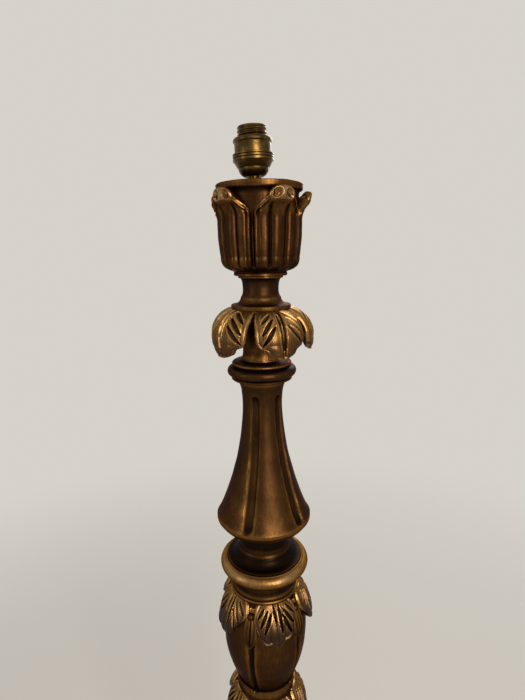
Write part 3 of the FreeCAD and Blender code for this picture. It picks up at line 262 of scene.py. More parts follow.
# %% The recipe for what isn't metal
def soft_finish(name, first, second, size_mm, rough, bump_mm, sheen=0.0):
    """A non-metal whose two close colours mingle at one real size."""
    finish = new_finish(name)
    place = add(finish, "TexCoord", out="Object")
    fleck = add(finish, "TexNoise", {"Scale": 1 / (size_mm * MM), "Detail": 6,
                                     "Roughness": 0.65}, {"Vector": place})
    share = add(finish, "MapRange", {"From Min": 0.35, "From Max": 0.65}, {"Value": fleck})
    colour = add(finish, "Mix", {"data_type": "RGBA", 6: linear(first), 7: linear(second)},
                 {0: share}, 2)
    bump = add(finish, "Bump", {"Strength": 0.6, "Distance": bump_mm * MM},
               {"Height": fleck}, "Normal")
    face = add(finish, "BsdfPrincipled", {"Roughness": rough, "Sheen Weight": sheen},
               {"Base Color": colour, "Normal": bump})
    add(finish, "OutputMaterial", (), {"Surface": face})
    return finish


# %% Felt, board, porcelain and nylon
# pressed wool: dull, with a pale fuzz at its edges that the sheen gives
felt = soft_finish("pressed_wool_felt", "#3c2c1e", "#2a1e14", 0.8, 0.95, 0.5, 0.4)
# hardboard, wood fibres pressed hot: even brown with fine flecks, faintly polished
board = soft_finish("hardboard", "#6a4c30", "#543a24", 1.2, 0.7, 0.15)
# glazed and fired: creamy white under a glassy skin
porcelain = soft_finish("glazed_porcelain", "#ece6da", "#e2dac9", 6, 0.16, 0.02)
# injection-moulded nylon: black with the fine grain of its mould
nylon = soft_finish("moulded_nylon_bush", "#1c1a18", "#24211e", 1.5, 0.42, 0.05)
print("finishes made", len(bpy.data.materials))

# %% [markdown]
# ## Where each section stands
# The lamp is a stack on one tube, so each section stands on the top of the one below.
# Those heights are asked of the frame rather than written down, so the lesson still fits
# if the frame changes. Every template below then counts its heights from its own foot.

# %% Heights of the sections
names_up = ["base_plinth", "base_dome", "base_cushion", "lower_trumpet", "lower_rings",
            "column", "vase", "cushion_ring", "trumpet", "ring_stack", "leaf_collar",
            "neck_spool", "candle_cup"]
tops = {name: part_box(name)[1].z / MM for name in names_up}
foot = {after: tops[before] for before, after in zip(names_up, names_up[1:])}
for lowest in ("base_plinth", "bun_feet"):
    foot[lowest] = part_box(lowest)[0].z / MM
print({name: round(height, 1) for name, height in foot.items()})

# %% [markdown]
# ## The template
# A turner holds a card cut to the shape of the section against the spinning wood. Here
# the card is a list of points, each a radius and a height. A third number is the bulge of
# the stretch that ends there, its greatest distance from the straight line: on a stretch
# that rises, plus swells outwards and minus hollows. A curve object could do the same,
# but points from a drawing are easier to check against the real lamp.


# %% Template helpers
def template(points, step):
    """The template's points, arcs and straights divided into steps of about one size."""
    line = [np.array(points[0][:2], float)]
    for start, end in zip(points, points[1:]):
        a, b = np.array(start[:2], float), np.array(end[:2], float)
        bulge = end[2] if len(end) > 2 else 0.0
        chord = np.linalg.norm(b - a)
        count = max(1, int(round(math.hypot(chord, 2 * bulge) / step)))
        right = np.array([b[1] - a[1], a[0] - b[0]]) / chord
        if bulge:
            radius = (chord ** 2 / 4 + bulge ** 2) / (2 * abs(bulge))
            side = math.copysign(1, bulge)
            centre = (a + b) / 2 + right * side * (abs(bulge) - radius)
            half = math.asin(min(1.0, chord / 2 / radius))
            if abs(bulge) > radius:
                half = math.pi - half
            way = (b - a) / chord
            for number in range(1, count + 1):
                angle = half * (2 * number / count - 1)
                line.append(centre + right * side * radius * math.cos(angle)
                            + way * radius * math.sin(angle))
        else:
            # flat shoulders and the bore are hidden, so they stay in one stretch
            if abs(b[1] - a[1]) < abs(b[0] - a[0]) or max(a[0], b[0]) < HIDDEN_RADIUS:
                count = 1
            for number in range(1, count + 1):
                line.append(a + (b - a) * number / count)
    return line


BORE = 7             # the hole for the tube runs through every section
SOCKET = 14.2        # each top has a socket for the spigot of the next section
HIDDEN_RADIUS = 12   # nothing nearer to the axis than this can be seen


def socket(top, floor, bore=BORE):
    """The end of a template: down the socket's wall and in along its floor."""
    return [(SOCKET, top), (SOCKET, floor), (bore, floor)]


trial = template([(BORE, 0), (30, 0), (30, 20, 4)], 2)
print("a bead 20 high in", len(trial), "points, widest", round(max(p[0] for p in trial), 1))

# %% [markdown]
# ## Turning
# The template is followed as by hand: a small plane is added at its first point and
# merged to a single vertex, that vertex is extruded from point to point, and the line is
# spun about the lamp's axis. The line is closed first, so the section comes out as one
# watertight solid with its bore. Spin can leave it inside out, so doubles are merged and
# the normals are worked out again.


# %% Turning
def free_hands():
    """Object mode, nothing selected."""
    if bpy.context.object and bpy.context.object.mode != "OBJECT":
        bpy.ops.object.mode_set(mode="OBJECT")
    bpy.ops.object.select_all(action="DESELECT")


def turn(name, points, low, around=128, step=1.6):
    """Turn a section: extrude a point along the template, then spin the line."""
    line = template(points + [points[0][:2]], step)
    free_hands()
    start = line[0]
    bpy.ops.mesh.primitive_plane_add(
        size=MM, location=(start[0] * MM, 0, (start[1] + low) * MM))
    piece = bpy.context.object
    piece.name = name
    bpy.ops.object.transform_apply(location=True, rotation=True, scale=True)
    bpy.ops.object.mode_set(mode="EDIT")
    bpy.ops.mesh.select_all(action="SELECT")
    bpy.ops.mesh.merge(type="CENTER")
    for before, after in zip(line, line[1:]):
        move = (after - before) * MM
        bpy.ops.mesh.extrude_region_move(
            TRANSFORM_OT_translate={"value": (move[0], 0, move[1])})
    bpy.ops.mesh.select_all(action="SELECT")
    bpy.ops.mesh.spin(steps=around, angle=2 * math.pi, center=(0, 0, 0), axis=(0, 0, 1))
    bpy.ops.mesh.select_all(action="SELECT")
    bpy.ops.mesh.remove_doubles(threshold=0.02 * MM)
    bpy.ops.mesh.normals_make_consistent(inside=False)
    bpy.ops.object.mode_set(mode="OBJECT")
    return piece


# %% [markdown]
# ## Hands on the points
# A carver works on the turned wood point by point, and so do the next helpers: they read
# all the points of a mesh as one array in millimetres, ask how far round the lamp each
# one lies, and write them back when they have moved. Sculpt mode would do this by eye,
# while numbers give five flutes that are truly alike.


# %% Points in and out
def points_of(piece):
    """A piece's vertices in millimetres as an array."""
    spots = np.empty(len(piece.data.vertices) * 3, np.float32)
    piece.data.vertices.foreach_get("co", spots)
    return spots.reshape(-1, 3).astype(float) / MM


def put_points(piece, spots):
    """Write the vertices back, in metres."""
    piece.data.vertices.foreach_set("co", (spots * MM).astype(np.float32).ravel())
    piece.data.update()


def normals_of(piece):
    """The vertex normals as an array."""
    found = np.empty(len(piece.data.vertices) * 3, np.float32)
    piece.data.vertex_normals.foreach_get("vector", found)
    return found.reshape(-1, 3).astype(float)


# %% Places round the axis, soft steps and ridges
def bearing(spots):
    """Degrees round the axis, 0 at the front and growing to the right."""
    return np.degrees(np.arctan2(spots[:, 0], -spots[:, 1]))


def apart(angle, centre, count=5):
    """Degrees from the nearest of the evenly repeated centres."""
    share = 360 / count
    return (angle - centre + share / 2) % share - share / 2


def laid_round(radius, angle, height):
    """Points at a radius, an angle from the front in radians, and a height."""
    return np.stack([radius * np.sin(angle), -radius * np.cos(angle), height], 1)


def smooth_step(value, low, high):
    """0 below low, 1 above high, smooth between."""
    share = np.clip((value - low) / (high - low), 0, 1)
    return share * share * (3 - 2 * share)


def ridge(offset, place, width, height, square=2):
    """A soft ridge across an offset, or a sink with a minus height; a higher square
    gives it a flatter top and steeper sides."""
    return height * np.exp(-(np.abs(offset - place) / width) ** square)


print("80 degrees is", apart(80, 0), "from the nearest of five")

# %% [markdown]
# ## Relief and hand finish
# The wax recipe asks for a number named relief. It is measured on the finished carving:
# the mesh is smoothed a few rounds on the side, and where the true point stands above the
# smoothed one it is proud. More rounds find broader forms. Last comes the hand: sanding
# leaves waves of a few centimetres and about a tenth of a millimetre, too small to see as
# a shape, but they stop the long highlights from running dead straight.


# %% Relief, hand finish and dressing
def store(piece, name, values):
    """Keep one number per point with the mesh, for the finish to read."""
    mark = piece.data.attributes.new(name, "FLOAT", "POINT")
    mark.data.foreach_set("value", np.asarray(values, np.float32))


def note_relief(piece, rounds, depth):
    """Store how far each spot stands above its smoothed surroundings, 0.5 being level."""
    spots = points_of(piece)
    ends = np.empty(len(piece.data.edges) * 2, np.int32)
    piece.data.edges.foreach_get("vertices", ends)
    ends = ends.reshape(-1, 2)
    count = len(spots)
    near = np.bincount(ends.ravel(), minlength=count).astype(float)
    smooth = spots.copy()
    for _ in range(rounds):
        total = np.stack([
            np.bincount(ends[:, 0], smooth[ends[:, 1], axis], count)
            + np.bincount(ends[:, 1], smooth[ends[:, 0], axis], count)
            for axis in range(3)], 1)
        smooth = total / near[:, None]
    proud = ((spots - smooth) * normals_of(piece)).sum(1)
    store(piece, "relief", np.clip(0.5 + proud / depth * 0.5, 0, 1))


def hand_made(piece, amount, seed):
    """The small waviness that hand sanding leaves, in waves of 20 mm and longer."""
    spots = points_of(piece)
    rng = np.random.default_rng(seed)
    push = np.zeros(len(spots))
    for _ in range(6):
        wave = rng.normal(size=3) / rng.uniform(20, 45)
        push += np.sin(spots @ wave * 2 * math.pi + rng.uniform(0, 6.3))
    put_points(piece, spots + normals_of(piece) * (push * amount / 3)[:, None])


def dress(piece, finish, stands_for=(), angle=40, rounds=10, depth=0.9):
    """Smooth shading, relief, finish and its place in the frame for one new piece."""
    free_hands()
    piece.select_set(True)
    bpy.context.view_layer.objects.active = piece
    bpy.ops.object.shade_smooth_by_angle(angle=math.radians(angle))
    note_relief(piece, rounds, depth)
    piece.data.materials.clear()
    piece.data.materials.append(finish)
    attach(piece, "lamp")
    if stands_for:
        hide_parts(*stands_for)
    print(piece.name, "faces", len(piece.data.polygons))
    return piece


# %% [markdown]
# ## Repeats
# Feet, leaves and petals repeat round the lamp. Each is modelled once, at the front, and
# copied with a mesh of its own, because each will get its own hand finish. The copies are
# turned to their places in their meshes, so every object stays at the origin.


# %% Copies round the axis
def join(name, parts):
    """Several meshes made one named piece."""
    free_hands()
    for part in parts:
        part.select_set(True)
    bpy.context.view_layer.objects.active = parts[0]
    bpy.ops.object.join()
    parts[0].name = name
    return parts[0]


def copies_round(first, name, angles):
    """Copy a piece to several angles about the axis, as one piece."""
    copies = [first]
    for _ in angles[1:]:
        free_hands()
        first.select_set(True)
        bpy.context.view_layer.objects.active = first
        bpy.ops.object.duplicate(linked=False)
        copies.append(bpy.context.object)
    for copy, angle in zip(copies, angles):
        copy.data.transform(Matrix.Rotation(math.radians(angle), 4, "Z"))
    return join(name, copies)


def fifths(centre):
    """Five angles all round, starting from one."""
    return [centre + 72 * number for number in range(5)]


print("leaves stand at", fifths(24))

# %% [markdown]
# ## Bun feet
# The picture ends above the floor, so the base follows the lamp's own forms and what such
# lamps usually stand on. Three turned buns carry the plinth, because three feet never
# rock. Each is a squashed ball with a neck and a collar over it, bored for the screw
# that holds it.

# %% Bun feet
FEET_CIRCLE = 121      # radius of the circle on which the feet stand
SCREW_BORE = 5.4
bun = turn("bun_feet_turned", [
    (SCREW_BORE, 0), (15.4, 0), (17, 1.2, 0.4), (18.4, 12, 8.6), (17.2, 21.4, 1.2),
    (16.6, 22.4), (19.2, 23, 0.1), (20, 24.4, 0.4), (20, 27), (SCREW_BORE, 27)],
    foot["bun_feet"], 96, 0.9)
bun.data.transform(Matrix.Translation((FEET_CIRCLE * MM, 0, 0)))
buns = copies_round(bun, "bun_feet_turned", (90, 210, 330))
hand_made(buns, 0.08, 2)
dress(buns, wood, stands_for=("bun_feet",), depth=1.2)

# %% [markdown]
# ## Plinth
# The plinth is a thick turned disc, hollow underneath for the iron weight, with a rebate
# for its cover. Its edge is a rounded nose, a quirk and a hollow that leads up to the
# dome. It is the widest piece, so it is spun in many steps, or its edge would show as a
# polygon.

# %% Plinth
plinth = turn("plinth_turned", [
    (BORE, 20), (90, 20), (90, 3), (98, 3), (98, 0), (144.8, 0), (146.6, 0.8, 0.2),
    (154, 7.4, 1.6), (154.2, 13, 0.7), (151.6, 16.2, 0.6), (151, 16.6), (150.2, 17.6, -0.2),
    (143.6, 28.8, -2.6), (143, 30.2), (143, 31.6, 0.2), (142.2, 32), (40.2, 32),
    (40.2, 26), (BORE, 26)], foot["base_plinth"], 192, 1.8)
hand_made(plinth, 0.1, 3)
dress(plinth, wood, stands_for=("base_plinth",), depth=1.2)

# %% [markdown]
# ## Dome with gadroons
# A low dome rises from the plinth, carved with fifteen gadroons, the swelling lobes that
# old candlesticks have on their feet. On the real wood a V-tool cuts the valleys and a
# flat gouge rounds what is left. On the mesh the same two strokes are a narrow sink
# between neighbours and a broad swell over each lobe. Both fade out before the rings at
# the top and bottom, where a carver would stop too.

# %% Dome with gadroons
LOBES = 15
HALF_LOBE = math.radians(180 / LOBES)
VALLEY_DEEP, LOBE_HIGH, LOBE_LEVEL = 2.8, 1.1, 0.9
dome = turn("dome_carved", [
    (BORE, 0), (139.4, 0), (140, 0.6, 0.2), (140, 3.6), (139.4, 4.2, 0.2), (136, 4.4),
    (135.4, 5.6, -0.5), (104, 32, 6.5), (66.4, 49.6, -7), (66, 50.4), (66, 55.4),
    (65.4, 56, 0.2), *socket(56, 46)], foot["base_dome"], 300, 1.5)
spots = points_of(dome)
radius = np.hypot(spots[:, 0], spots[:, 1])
height = spots[:, 2] - foot["base_dome"]
side = np.abs(np.radians(apart(bearing(spots), 0, LOBES))) * radius
edge = HALF_LOBE * radius - side
run = smooth_step(height, 7.5, 15) * smooth_step(-height, -44, -33) * (radius > 60)
valley = ridge(edge, 0, 1.1 + 0.012 * radius, -VALLEY_DEEP)
swell = LOBE_HIGH * (1 - np.clip(side / (HALF_LOBE * radius), 0, 1) ** 2) - LOBE_LEVEL
put_points(dome, spots + normals_of(dome) * ((valley + swell) * run)[:, None])
dress(dome, wood, stands_for=("base_dome",), depth=1.6)

# %% [markdown]
# ## Lower cushion
# The ring on the dome repeats the bright cushion that the picture shows higher up: a foot
# ring, a hollow, a full round and a hollow crown on which the next section sits.

# %% Lower cushion
low_cushion = turn("lower_cushion_turned", [
    (BORE, 0), (57.6, 0), (58, 0.4), (58, 3.6), (57.2, 4.2), (53, 10, -1.8),
    (54.6, 12.4, -0.4), (57.4, 13.4, 0.2), (57.4, 31, 8.8), (54.6, 31.4), (54, 32.4, 0.3),
    (53, 33, 0.2), (51.6, 33.2), (38, 40, -2.6), (35.4, 42.6, -0.3), (35, 44),
    *socket(44, 34)], foot["base_cushion"], 144, 1.5)
hand_made(low_cushion, 0.1, 4)
dress(low_cushion, wood, stands_for=("base_cushion",), depth=1.2)

# %% [markdown]
# ## Gouged flutes
# A flute is a round-bottomed channel that a gouge leaves, with rounded ends and a thin
# burr, which the finisher leaves on as a soft raised edge. It follows the section's curve,
# so it can't be cut with a straight solid and a Boolean. Each point is pushed in along
# its own normal instead, by its distance from the flute's centre line. Only points that
# face outwards move, so shoulders and bores stay as turned.


# %% Gouge
def channel(offset, half_width, depth, lip=0.1, lip_width=1.2):
    """Depth of a gouged channel at so many millimetres from its centre line."""
    inside = np.clip(1 - (offset / half_width) ** 2, 0, None)
    burr = ridge(offset, half_width + lip_width * 0.6, lip_width / 1.6, lip)
    return -depth * np.sqrt(inside) + np.where(offset > half_width * 0.9, burr, 0)


def flute(piece, low, centre, ends, halves, depth, inner=0):
    """Carve five upright flutes with rounded ends, between two heights, half widths given
    at both; what lies within the inner radius isn't touched."""
    spots = points_of(piece)
    radius = np.hypot(spots[:, 0], spots[:, 1])
    height = spots[:, 2] - low
    side = np.radians(apart(bearing(spots), centre)) * radius
    along = np.clip((height - ends[0]) / (ends[1] - ends[0]), 0, 1)
    half = halves[0] + (halves[1] - halves[0]) * along
    beyond = np.maximum(0, np.maximum(ends[0] + halves[0] - height,
                                      height - ends[1] + halves[1]))
    offset = np.hypot(side, beyond)
    outer = normals_of(piece)
    facing = (outer[:, 0] * spots[:, 0] + outer[:, 1] * spots[:, 1]) / np.maximum(radius, 1)
    push = channel(offset, half, depth) * smooth_step(facing, 0.15, 0.5) * (radius > inner)
    put_points(piece, spots + outer * push[:, None])


print("gouge at its centre and edge", channel(np.array([0.0, 6.2]), 6.2, 2.6))

# %% [markdown]
# ## Trumpets
# Each trumpet is a bell that flares downwards over a thick rounded lip, with five flutes
# from the narrow waist nearly to the lip. Arcs joined end to end would show as bands in
# the highlight, so the long flank is one flowing curve through measured points, as a thin
# batten lies when it is bent round nails. The recessed foot under the lip is painted dark
# as shade, and the flared part, which faces up, a little lighter as a painted highlight.


# %% Trumpets
FLUTES = -21.0      # degrees from the front to the first flute of trumpets and column
FLUTE_DEEP = 2.6


def flowing(points, step=3.0):
    """Points of one smooth curve through the given ones, as a bent batten lies."""
    knots = np.array(points, float)
    slopes = np.gradient(knots, axis=0)
    made = [tuple(knots[0])]
    for number in range(len(knots) - 1):
        a, b = knots[number], knots[number + 1]
        count = max(2, int(np.linalg.norm(b - a) / step))
        for share in np.arange(1, count + 1) / count:
            made.append(tuple(
                (2 * share ** 3 - 3 * share ** 2 + 1) * a
                + (share ** 3 - 2 * share ** 2 + share) * slopes[number]
                + (3 * share ** 2 - 2 * share ** 3) * b
                + (share ** 3 - share ** 2) * slopes[number + 1]))
    return made


def trumpet(name, node, points, ends, halves, painted_shade_to):
    """A flared section with its five flutes; its recessed foot gets painted shade and its
    flare a painted highlight.
    """
    bell = turn(name, points, foot[node], 240, 1.3)
    up = points_of(bell)[:, 2] - foot[node]
    # painted highlight on the flare, which faces up, and painted shade on the recessed foot
    # under the lip
    store(bell, "wax_and_painted_light", -0.02 + 0.07 * smooth_step(-up, -120, -30)
          - 0.34 * smooth_step(painted_shade_to - up, -2, 2))
    flute(bell, foot[node], FLUTES, ends, halves, FLUTE_DEEP)
    hand_made(bell, 0.12, 5)
    return dress(bell, wood, stands_for=(node,), rounds=12, depth=1.1)


trumpet("lower_trumpet_carved", "lower_trumpet", [
    (BORE, 0), (34.6, 0), (35, 0.6), (35, 8), (36, 9.4, -0.5), (47, 10.6), (50, 11.4, 0.3),
    (61.6, 22.6, 2.4), (62, 25.6, 0.4), (60.2, 29.6, 0.7), *flowing([
        (58.6, 32.4), (54.4, 42), (42, 72), (32.2, 104), (28, 132), (27.4, 152), (28.4, 172),
        (31, 190)]), *socket(190, 180)], (46, 168), (6.4, 4.6), 9)
trumpet("trumpet_carved", "trumpet", [
    (BORE, 0), (28, 0), (28, 17.6), (29, 19.4, -0.5), (34, 21.2), (40, 24, 0.2),
    (50.4, 33.6, 1.4), (51.5, 36.6, 0.6), (50.6, 39.4, 0.6), *flowing([
        (49.4, 41.4), (46.6, 47.4), (40.2, 64.5), (34.0, 84), (26.9, 112), (22.9, 138),
        (21.0, 161), (21.3, 175), (23.0, 184.5), (26, 191.6)]), *socket(191.6, 182)],
    (38.5, 177), (6.2, 4.4), 22)

# %% [markdown]
# ## Rings and cushions
# The plain mouldings carry the light of the whole lamp, and the big cushion is the
# brightest thing on it, partly through a painted highlight. They are turned with quirks, the
# thin dark steps between a bead and its neighbour, because those lines are what makes a
# moulding read as turned. The neck under the cup is a hollowed spool with a sharp flange at
# its foot. Beside each section its wax and painted light are written as pairs of height and
# amount: on the cushion, the ring stack and the neck these pairs paint highlights on faces
# turned up to the light, and shade in hollows and under the parts above them.


# %% Rings, cushion and neck
def moulding(name, node, points, seed, wax_and_painted_light_levels):
    """A plain turned section in place of its node, with wax and painted light set by height.
    """
    made = turn(name, points, foot[node], 160, 1.1)
    heights = points_of(made)[:, 2] - foot[node]
    store(made, "wax_and_painted_light", np.interp(heights, *zip(*wax_and_painted_light_levels)))
    hand_made(made, 0.08, seed)
    return dress(made, wood, stands_for=(node,), rounds=8, depth=1.0)


moulding("lower_rings_turned", "lower_rings", [
    (BORE, 0), (36.2, 0), (37, 0.8, 0.2), (37, 2.6), (36.4, 3.4, 0.2), (35.8, 4.2),
    (38, 4.8, 0.1), (38, 15, 4.4), (35.4, 15.6), (34.6, 16.4), (35, 17, 0.1),
    (35, 20.2, 0.7), (32.4, 21), (31, 24, -0.5), *socket(24, 14)], 6, [(0, -0.1)])
# the ring stack, under the overhanging collar leaves, is painted darker as shade
moulding("ring_stack_turned", "ring_stack", [
    (BORE, 0), (30.8, 0), (31.6, 0.8, 0.2), (31.6, 2.2), (30.9, 3, 0.2), (29.8, 3.4),
    (32.4, 4, 0.1), (33, 13.4, 3.2), (30.6, 14), (29.4, 14.7), (30, 15.2, 0.1),
    (30.2, 18.4, 0.9), (28.6, 19.2), (21.4, 20.6, -0.4), (20.5, 22, -0.4),
    *socket(22, 12)], 7, [(0, -0.2), (14, -0.18), (17, 0.0)])
# painted highlight on the top of the full round, painted shade in the foot cove and in the
# hollow crown under the trumpet
moulding("cushion_turned", "cushion_ring", [
    (BORE, 0), (36.4, 0), (36.6, 1), (36, 10, -0.9), (37.4, 16.4, -0.5), (42.2, 20.4, -0.7),
    (43.4, 20.8), (44, 34.2, 5.6), (43.4, 34.8, 0.1), (41.4, 34.9), (41.6, 36.1, 0.5),
    (40.6, 36.6, 0.1), (31.4, 43.4, -1.5), (29.4, 47, -0.6), (28.2, 49), *socket(49, 39)],
    8, [(0, -0.1), (16, -0.05), (22, 0.1), (33, 0.36), (35, 0.36), (37, -0.3)])
# the neck's flare, which faces up, is painted lighter as a highlight, and its waist under
# the cup darker as shade
moulding("neck_turned", "neck_spool", [
    (8.5, 0), (29.6, 0), (30.3, 0.8, 0.2), (30.3, 3.6), (29.7, 4.4, 0.2), (27.6, 4.8),
    (20.4, 11.4, -1.9), (18.1, 19, -0.7), (18.6, 26, -0.2), (20.4, 30.4, -0.4),
    (22.2, 30.9), (22.6, 31.4, 0.1), (22.6, 33), *socket(33, 23, 8.5)], 9,
    [(0, -0.16), (4.4, -0.1), (6, 0.2), (10, 0.15), (16, -0.05), (24, -0.1), (30, -0.1)])

# %% [markdown]
# ## Carved leaves
# Five leaves hang round each leaf ring, cut from the solid with their tips undercut so
# that they stand free. One leaf is a flat grid bent over the bell of the turned section.
# A leaf could be sculpted or built from extruded faces, but then each cut would be only
# as clean as the faces happen to lie. Here outline, midrib, slashed veins and border are
# worked out at each point from two distances in millimetres: how far down the leaf it is,
# and how far to the side of its middle. That is also how a carver draws them on the wood.


# %% Strokes on a leaf
def along_line(points, step=0.25):
    """Distances along a template line, and the line itself as an array."""
    line = np.array(template(points, step))
    gone = np.concatenate([[0], np.cumsum(np.linalg.norm(np.diff(line, axis=0), axis=1))])
    return gone, line


def groove(across, down, start, end, half, depth):
    """A spindle-shaped cut from one point of the leaf to another."""
    a, b = np.array(start, float), np.array(end, float)
    length = np.linalg.norm(b - a)
    way = (b - a) / length
    share = ((across - a[0]) * way[0] + (down - a[1]) * way[1]) / length
    off = np.abs((across - a[0]) * way[1] - (down - a[1]) * way[0])
    inside = np.clip(share, 0, 1)
    reach = half * np.sin(math.pi * np.clip(inside * 0.94 + 0.03, 0, 1)) ** 0.7
    fade = smooth_step(share, -0.02, 0.04) * smooth_step(-share, -1.02, -0.96)
    cut = np.clip(1 - (off / np.maximum(reach, 0.05)) ** 2, 0, 1) ** 1.2
    burr = ridge(off, reach + 0.5, 0.6, 0.25)
    return (-depth * cut + burr * (off > reach * 0.95)) * fade


deepest = groove(np.array([0.0]), np.array([5.0]), (0, 0), (0, 10), 1.5, 2)[0]
print("a cut 2 mm deep measures", round(-float(deepest), 2), "at its middle")


# %% [markdown]
# ## From sheet to wood
# A leaf and a petal both start as a plain bent sheet. The Solidify modifier gives it its
# wood and closes the edge all round. Done after carving, that would copy every cut to the
# back and fold it over itself at the corners. So the plain sheet is made solid, and then
# the cuts go into the front's points alone, while the back stays smooth.


# %% Sheet helpers
def sheet(across, along):
    """A flat grid two units wide, and its points from -1 to 1 each way."""
    free_hands()
    bpy.ops.mesh.primitive_grid_add(x_subdivisions=across, y_subdivisions=along, size=2)
    made = bpy.context.object
    return made, points_of(made) * MM


def face_out(piece):
    """Turn a sheet's faces away from the lamp's axis, if they look inwards."""
    if (normals_of(piece)[:, :2] * points_of(piece)[:, :2]).sum() < 0:
        bpy.ops.object.mode_set(mode="EDIT")
        bpy.ops.mesh.select_all(action="SELECT")
        bpy.ops.mesh.flip_normals()
        bpy.ops.object.mode_set(mode="OBJECT")


def give_wood(piece, bent, push, thick, back=None):
    """Make a sheet solid, with a carved front and a smooth back."""
    put_points(piece, bent(0 * push))
    face_out(piece)
    wall = piece.modifiers.new("wall", "SOLIDIFY")
    wall.thickness = thick * MM
    wall.offset = -1
    bpy.ops.object.modifier_apply(modifier="wall")
    back = bent(0 * push - thick) if back is None else back
    put_points(piece, np.concatenate([bent(push), back]))


# %% [markdown]
# ## One leaf, then five
# The numbers in the leaf are depths of wood in millimetres. A leaf puffs up between its
# midrib and its edges, sags at the edges towards the tip, and has a softly raised border
# that ends in a thin rounded rim. The leaves on the vase and the column are fans: every
# rib runs on to a lobe of its own in the lower edge. The fold at the top of each leaf faces
# up to the light, so it is painted lighter as a highlight that fades towards the tip.


# %% Leaf ring
THINNEST = 0.8      # wood left under the deepest cut of a leaf
BORDER = ((1.9, 1.2, 0.6), (0, 1.1, -0.8), (4.4, 1.6, -0.5))    # raised line, rim, sink


def leaf_ring(name, meridian, edge, centre, low, thick, strokes, dish, finish,
              grid=(84, 110), puff=0.0, lobes=0, wax_and_painted_light=0.0):
    """Five carved leaves bent over the meridian, hanging tip down."""
    gone, line = along_line(meridian)
    first, flat = sheet(*grid)
    total = edge[-1][1]
    down = (1 - flat[:, 1]) / 2 * total
    half = np.interp(down, [item[1] for item in edge], [item[0] for item in edge])
    rib, fall = 0 * down, 1 + 0 * down
    if lobes:
        rib = np.abs(np.cos(math.pi * lobes / 2 * flat[:, 0]))
        fall = 1 - 0.42 * np.abs(flat[:, 0] + 0.1) ** 2.2 + 0.09 * rib
        down = down * (1 + (fall - 1) * (down / total) ** 0.5)
    across = flat[:, 0] * half
    share = np.abs(flat[:, 0])

    # the body of the leaf
    push = puff * np.sin(math.pi * np.clip(share, 0, 1) ** 0.8)
    push -= 1.6 * share ** 2 * smooth_step(down, 4, 20) * dish
    if lobes:
        push += (1.1 * rib ** 0.8 - 0.6) * smooth_step(down, 2, 14)
    # its border, counted inwards from the edge: place, width and height of each line
    rim = np.minimum(half - np.abs(across), total * fall - down)
    for place, width, high in BORDER:
        push += ridge(rim, place, width, high)
    for start, end, wide, deep in strokes:
        push += groove(across, down, start, end, wide, deep)
    push = np.maximum(push, THINNEST - thick)

    # where the bell's face is, and which way it faces, at each distance down the leaf
    radius = np.interp(down, gone, line[:, 0])
    height = np.interp(down, gone, line[:, 1])
    out_r = np.interp(down, gone, -np.gradient(line[:, 1], gone))
    out_z = np.interp(down, gone, np.gradient(line[:, 0], gone))
    size = np.hypot(out_r, out_z)
    out_r, out_z = out_r / size, out_z / size

    def bent(offset):
        """Points of the leaf at an offset from the bell's face."""
        return laid_round(radius + out_r * offset, across / np.maximum(radius, 12),
                          height + out_z * offset + low)

    give_wood(first, bent, push, thick)
    # painted highlight: lighter at the fold on top of the leaf, fading towards the tip
    painted_top_light_and_wax = wax_and_painted_light - 0.05 + 0.3 * smooth_step(-down, -0.9 * total, -0.1 * total)
    store(first, "wax_and_painted_light", np.concatenate([painted_top_light_and_wax, 0 * painted_top_light_and_wax]))
    ring = copies_round(first, name, fifths(centre))
    hand_made(ring, 0.1, 11)
    return dress(ring, finish, angle=50, depth=1.1)


# %% [markdown]
# ## Leaf collar
# The collar is the part that the eye goes to first: five broad leaves that hang free of a
# thin core, like a skirt. A meridian line says how they hang, first out over the flange
# and then down and slightly in. It runs downwards, so here a minus bulge swells outwards.
# The edge is half the leaf's width at each distance down. The slashes are not mirrored,
# because the carver's hand wasn't either: the right ones are longer and wider.

# %% Collar leaves and their core
MIDRIB = [((-2.7, 2), (-0.8, 50), 1.4, 2.0), ((2.4, 1), (1.2, 51), 1.9, 2.6)]
LEFT_CUTS = [((-8, 9), (-19.5, 21), 1.9, 2.6), ((-7.5, 15.5), (-20.5, 32), 2.1, 2.8),
             ((-6.5, 23), (-20, 42), 2.1, 2.8)]
RIGHT_CUTS = [((4.6, 5), (21, 20), 2.0, 2.6), ((5, 14), (23, 31.5), 2.4, 2.8),
              ((5.2, 22.5), (23, 41), 2.4, 2.8)]
FOLD = 8            # the cuts start where the leaf folds over the flange
FIRST_LEAF = 24     # degrees from the front to the middle of the first leaf
leaf_ring(
    "collar_leaves", [(21, 50.6), (29.6, 50.8), (51.9, 22, -7.4), (49.2, 7.2, -1.3)],
    [(12, 0), (17.5, 8), (21, 14), (25, 22), (27, 32), (28, 40), (27.4, 47), (24.6, 51.5),
     (18.2, 54), (16.6, 56), (16, 58), (13.5, 60.4), (9, 62.4), (3.5, 63.6), (0.8, 64)],
    FIRST_LEAF, foot["leaf_collar"], 3.6,
    [((a[0], a[1] + FOLD), (b[0], b[1] + FOLD), wide, deep)
     for a, b, wide, deep in MIDRIB + LEFT_CUTS + RIGHT_CUTS], 1.2, gilded, puff=1.7)
core = turn("collar_core_turned", [
    (BORE, 0), (20.2, 0), (20.5, 0.4), (19.3, 8, -0.3), (19.3, 40), (21.5, 45, -0.8),
    (29.4, 49.6, -1.2), (29.6, 51), *socket(51, 41)], foot["leaf_collar"], 96, 1.6)
# the core under the hanging leaves gets the darker cup finish as painted shade
dress(core, cup_wood, stands_for=("leaf_collar",))

# %% [markdown]
# ## Vase and column
# The vase is an upturned acorn between two fillets. The column below starts with the same
# shoulder and fillets and runs down as a long taper. Both are turned and then fluted like
# the trumpets, the vase only up to where its leaves begin, and not quite in line with
# them, because the sections were screwed up by hand. The column also has a narrow flute
# between each two wide ones, as a shaft this long would look bare without them.

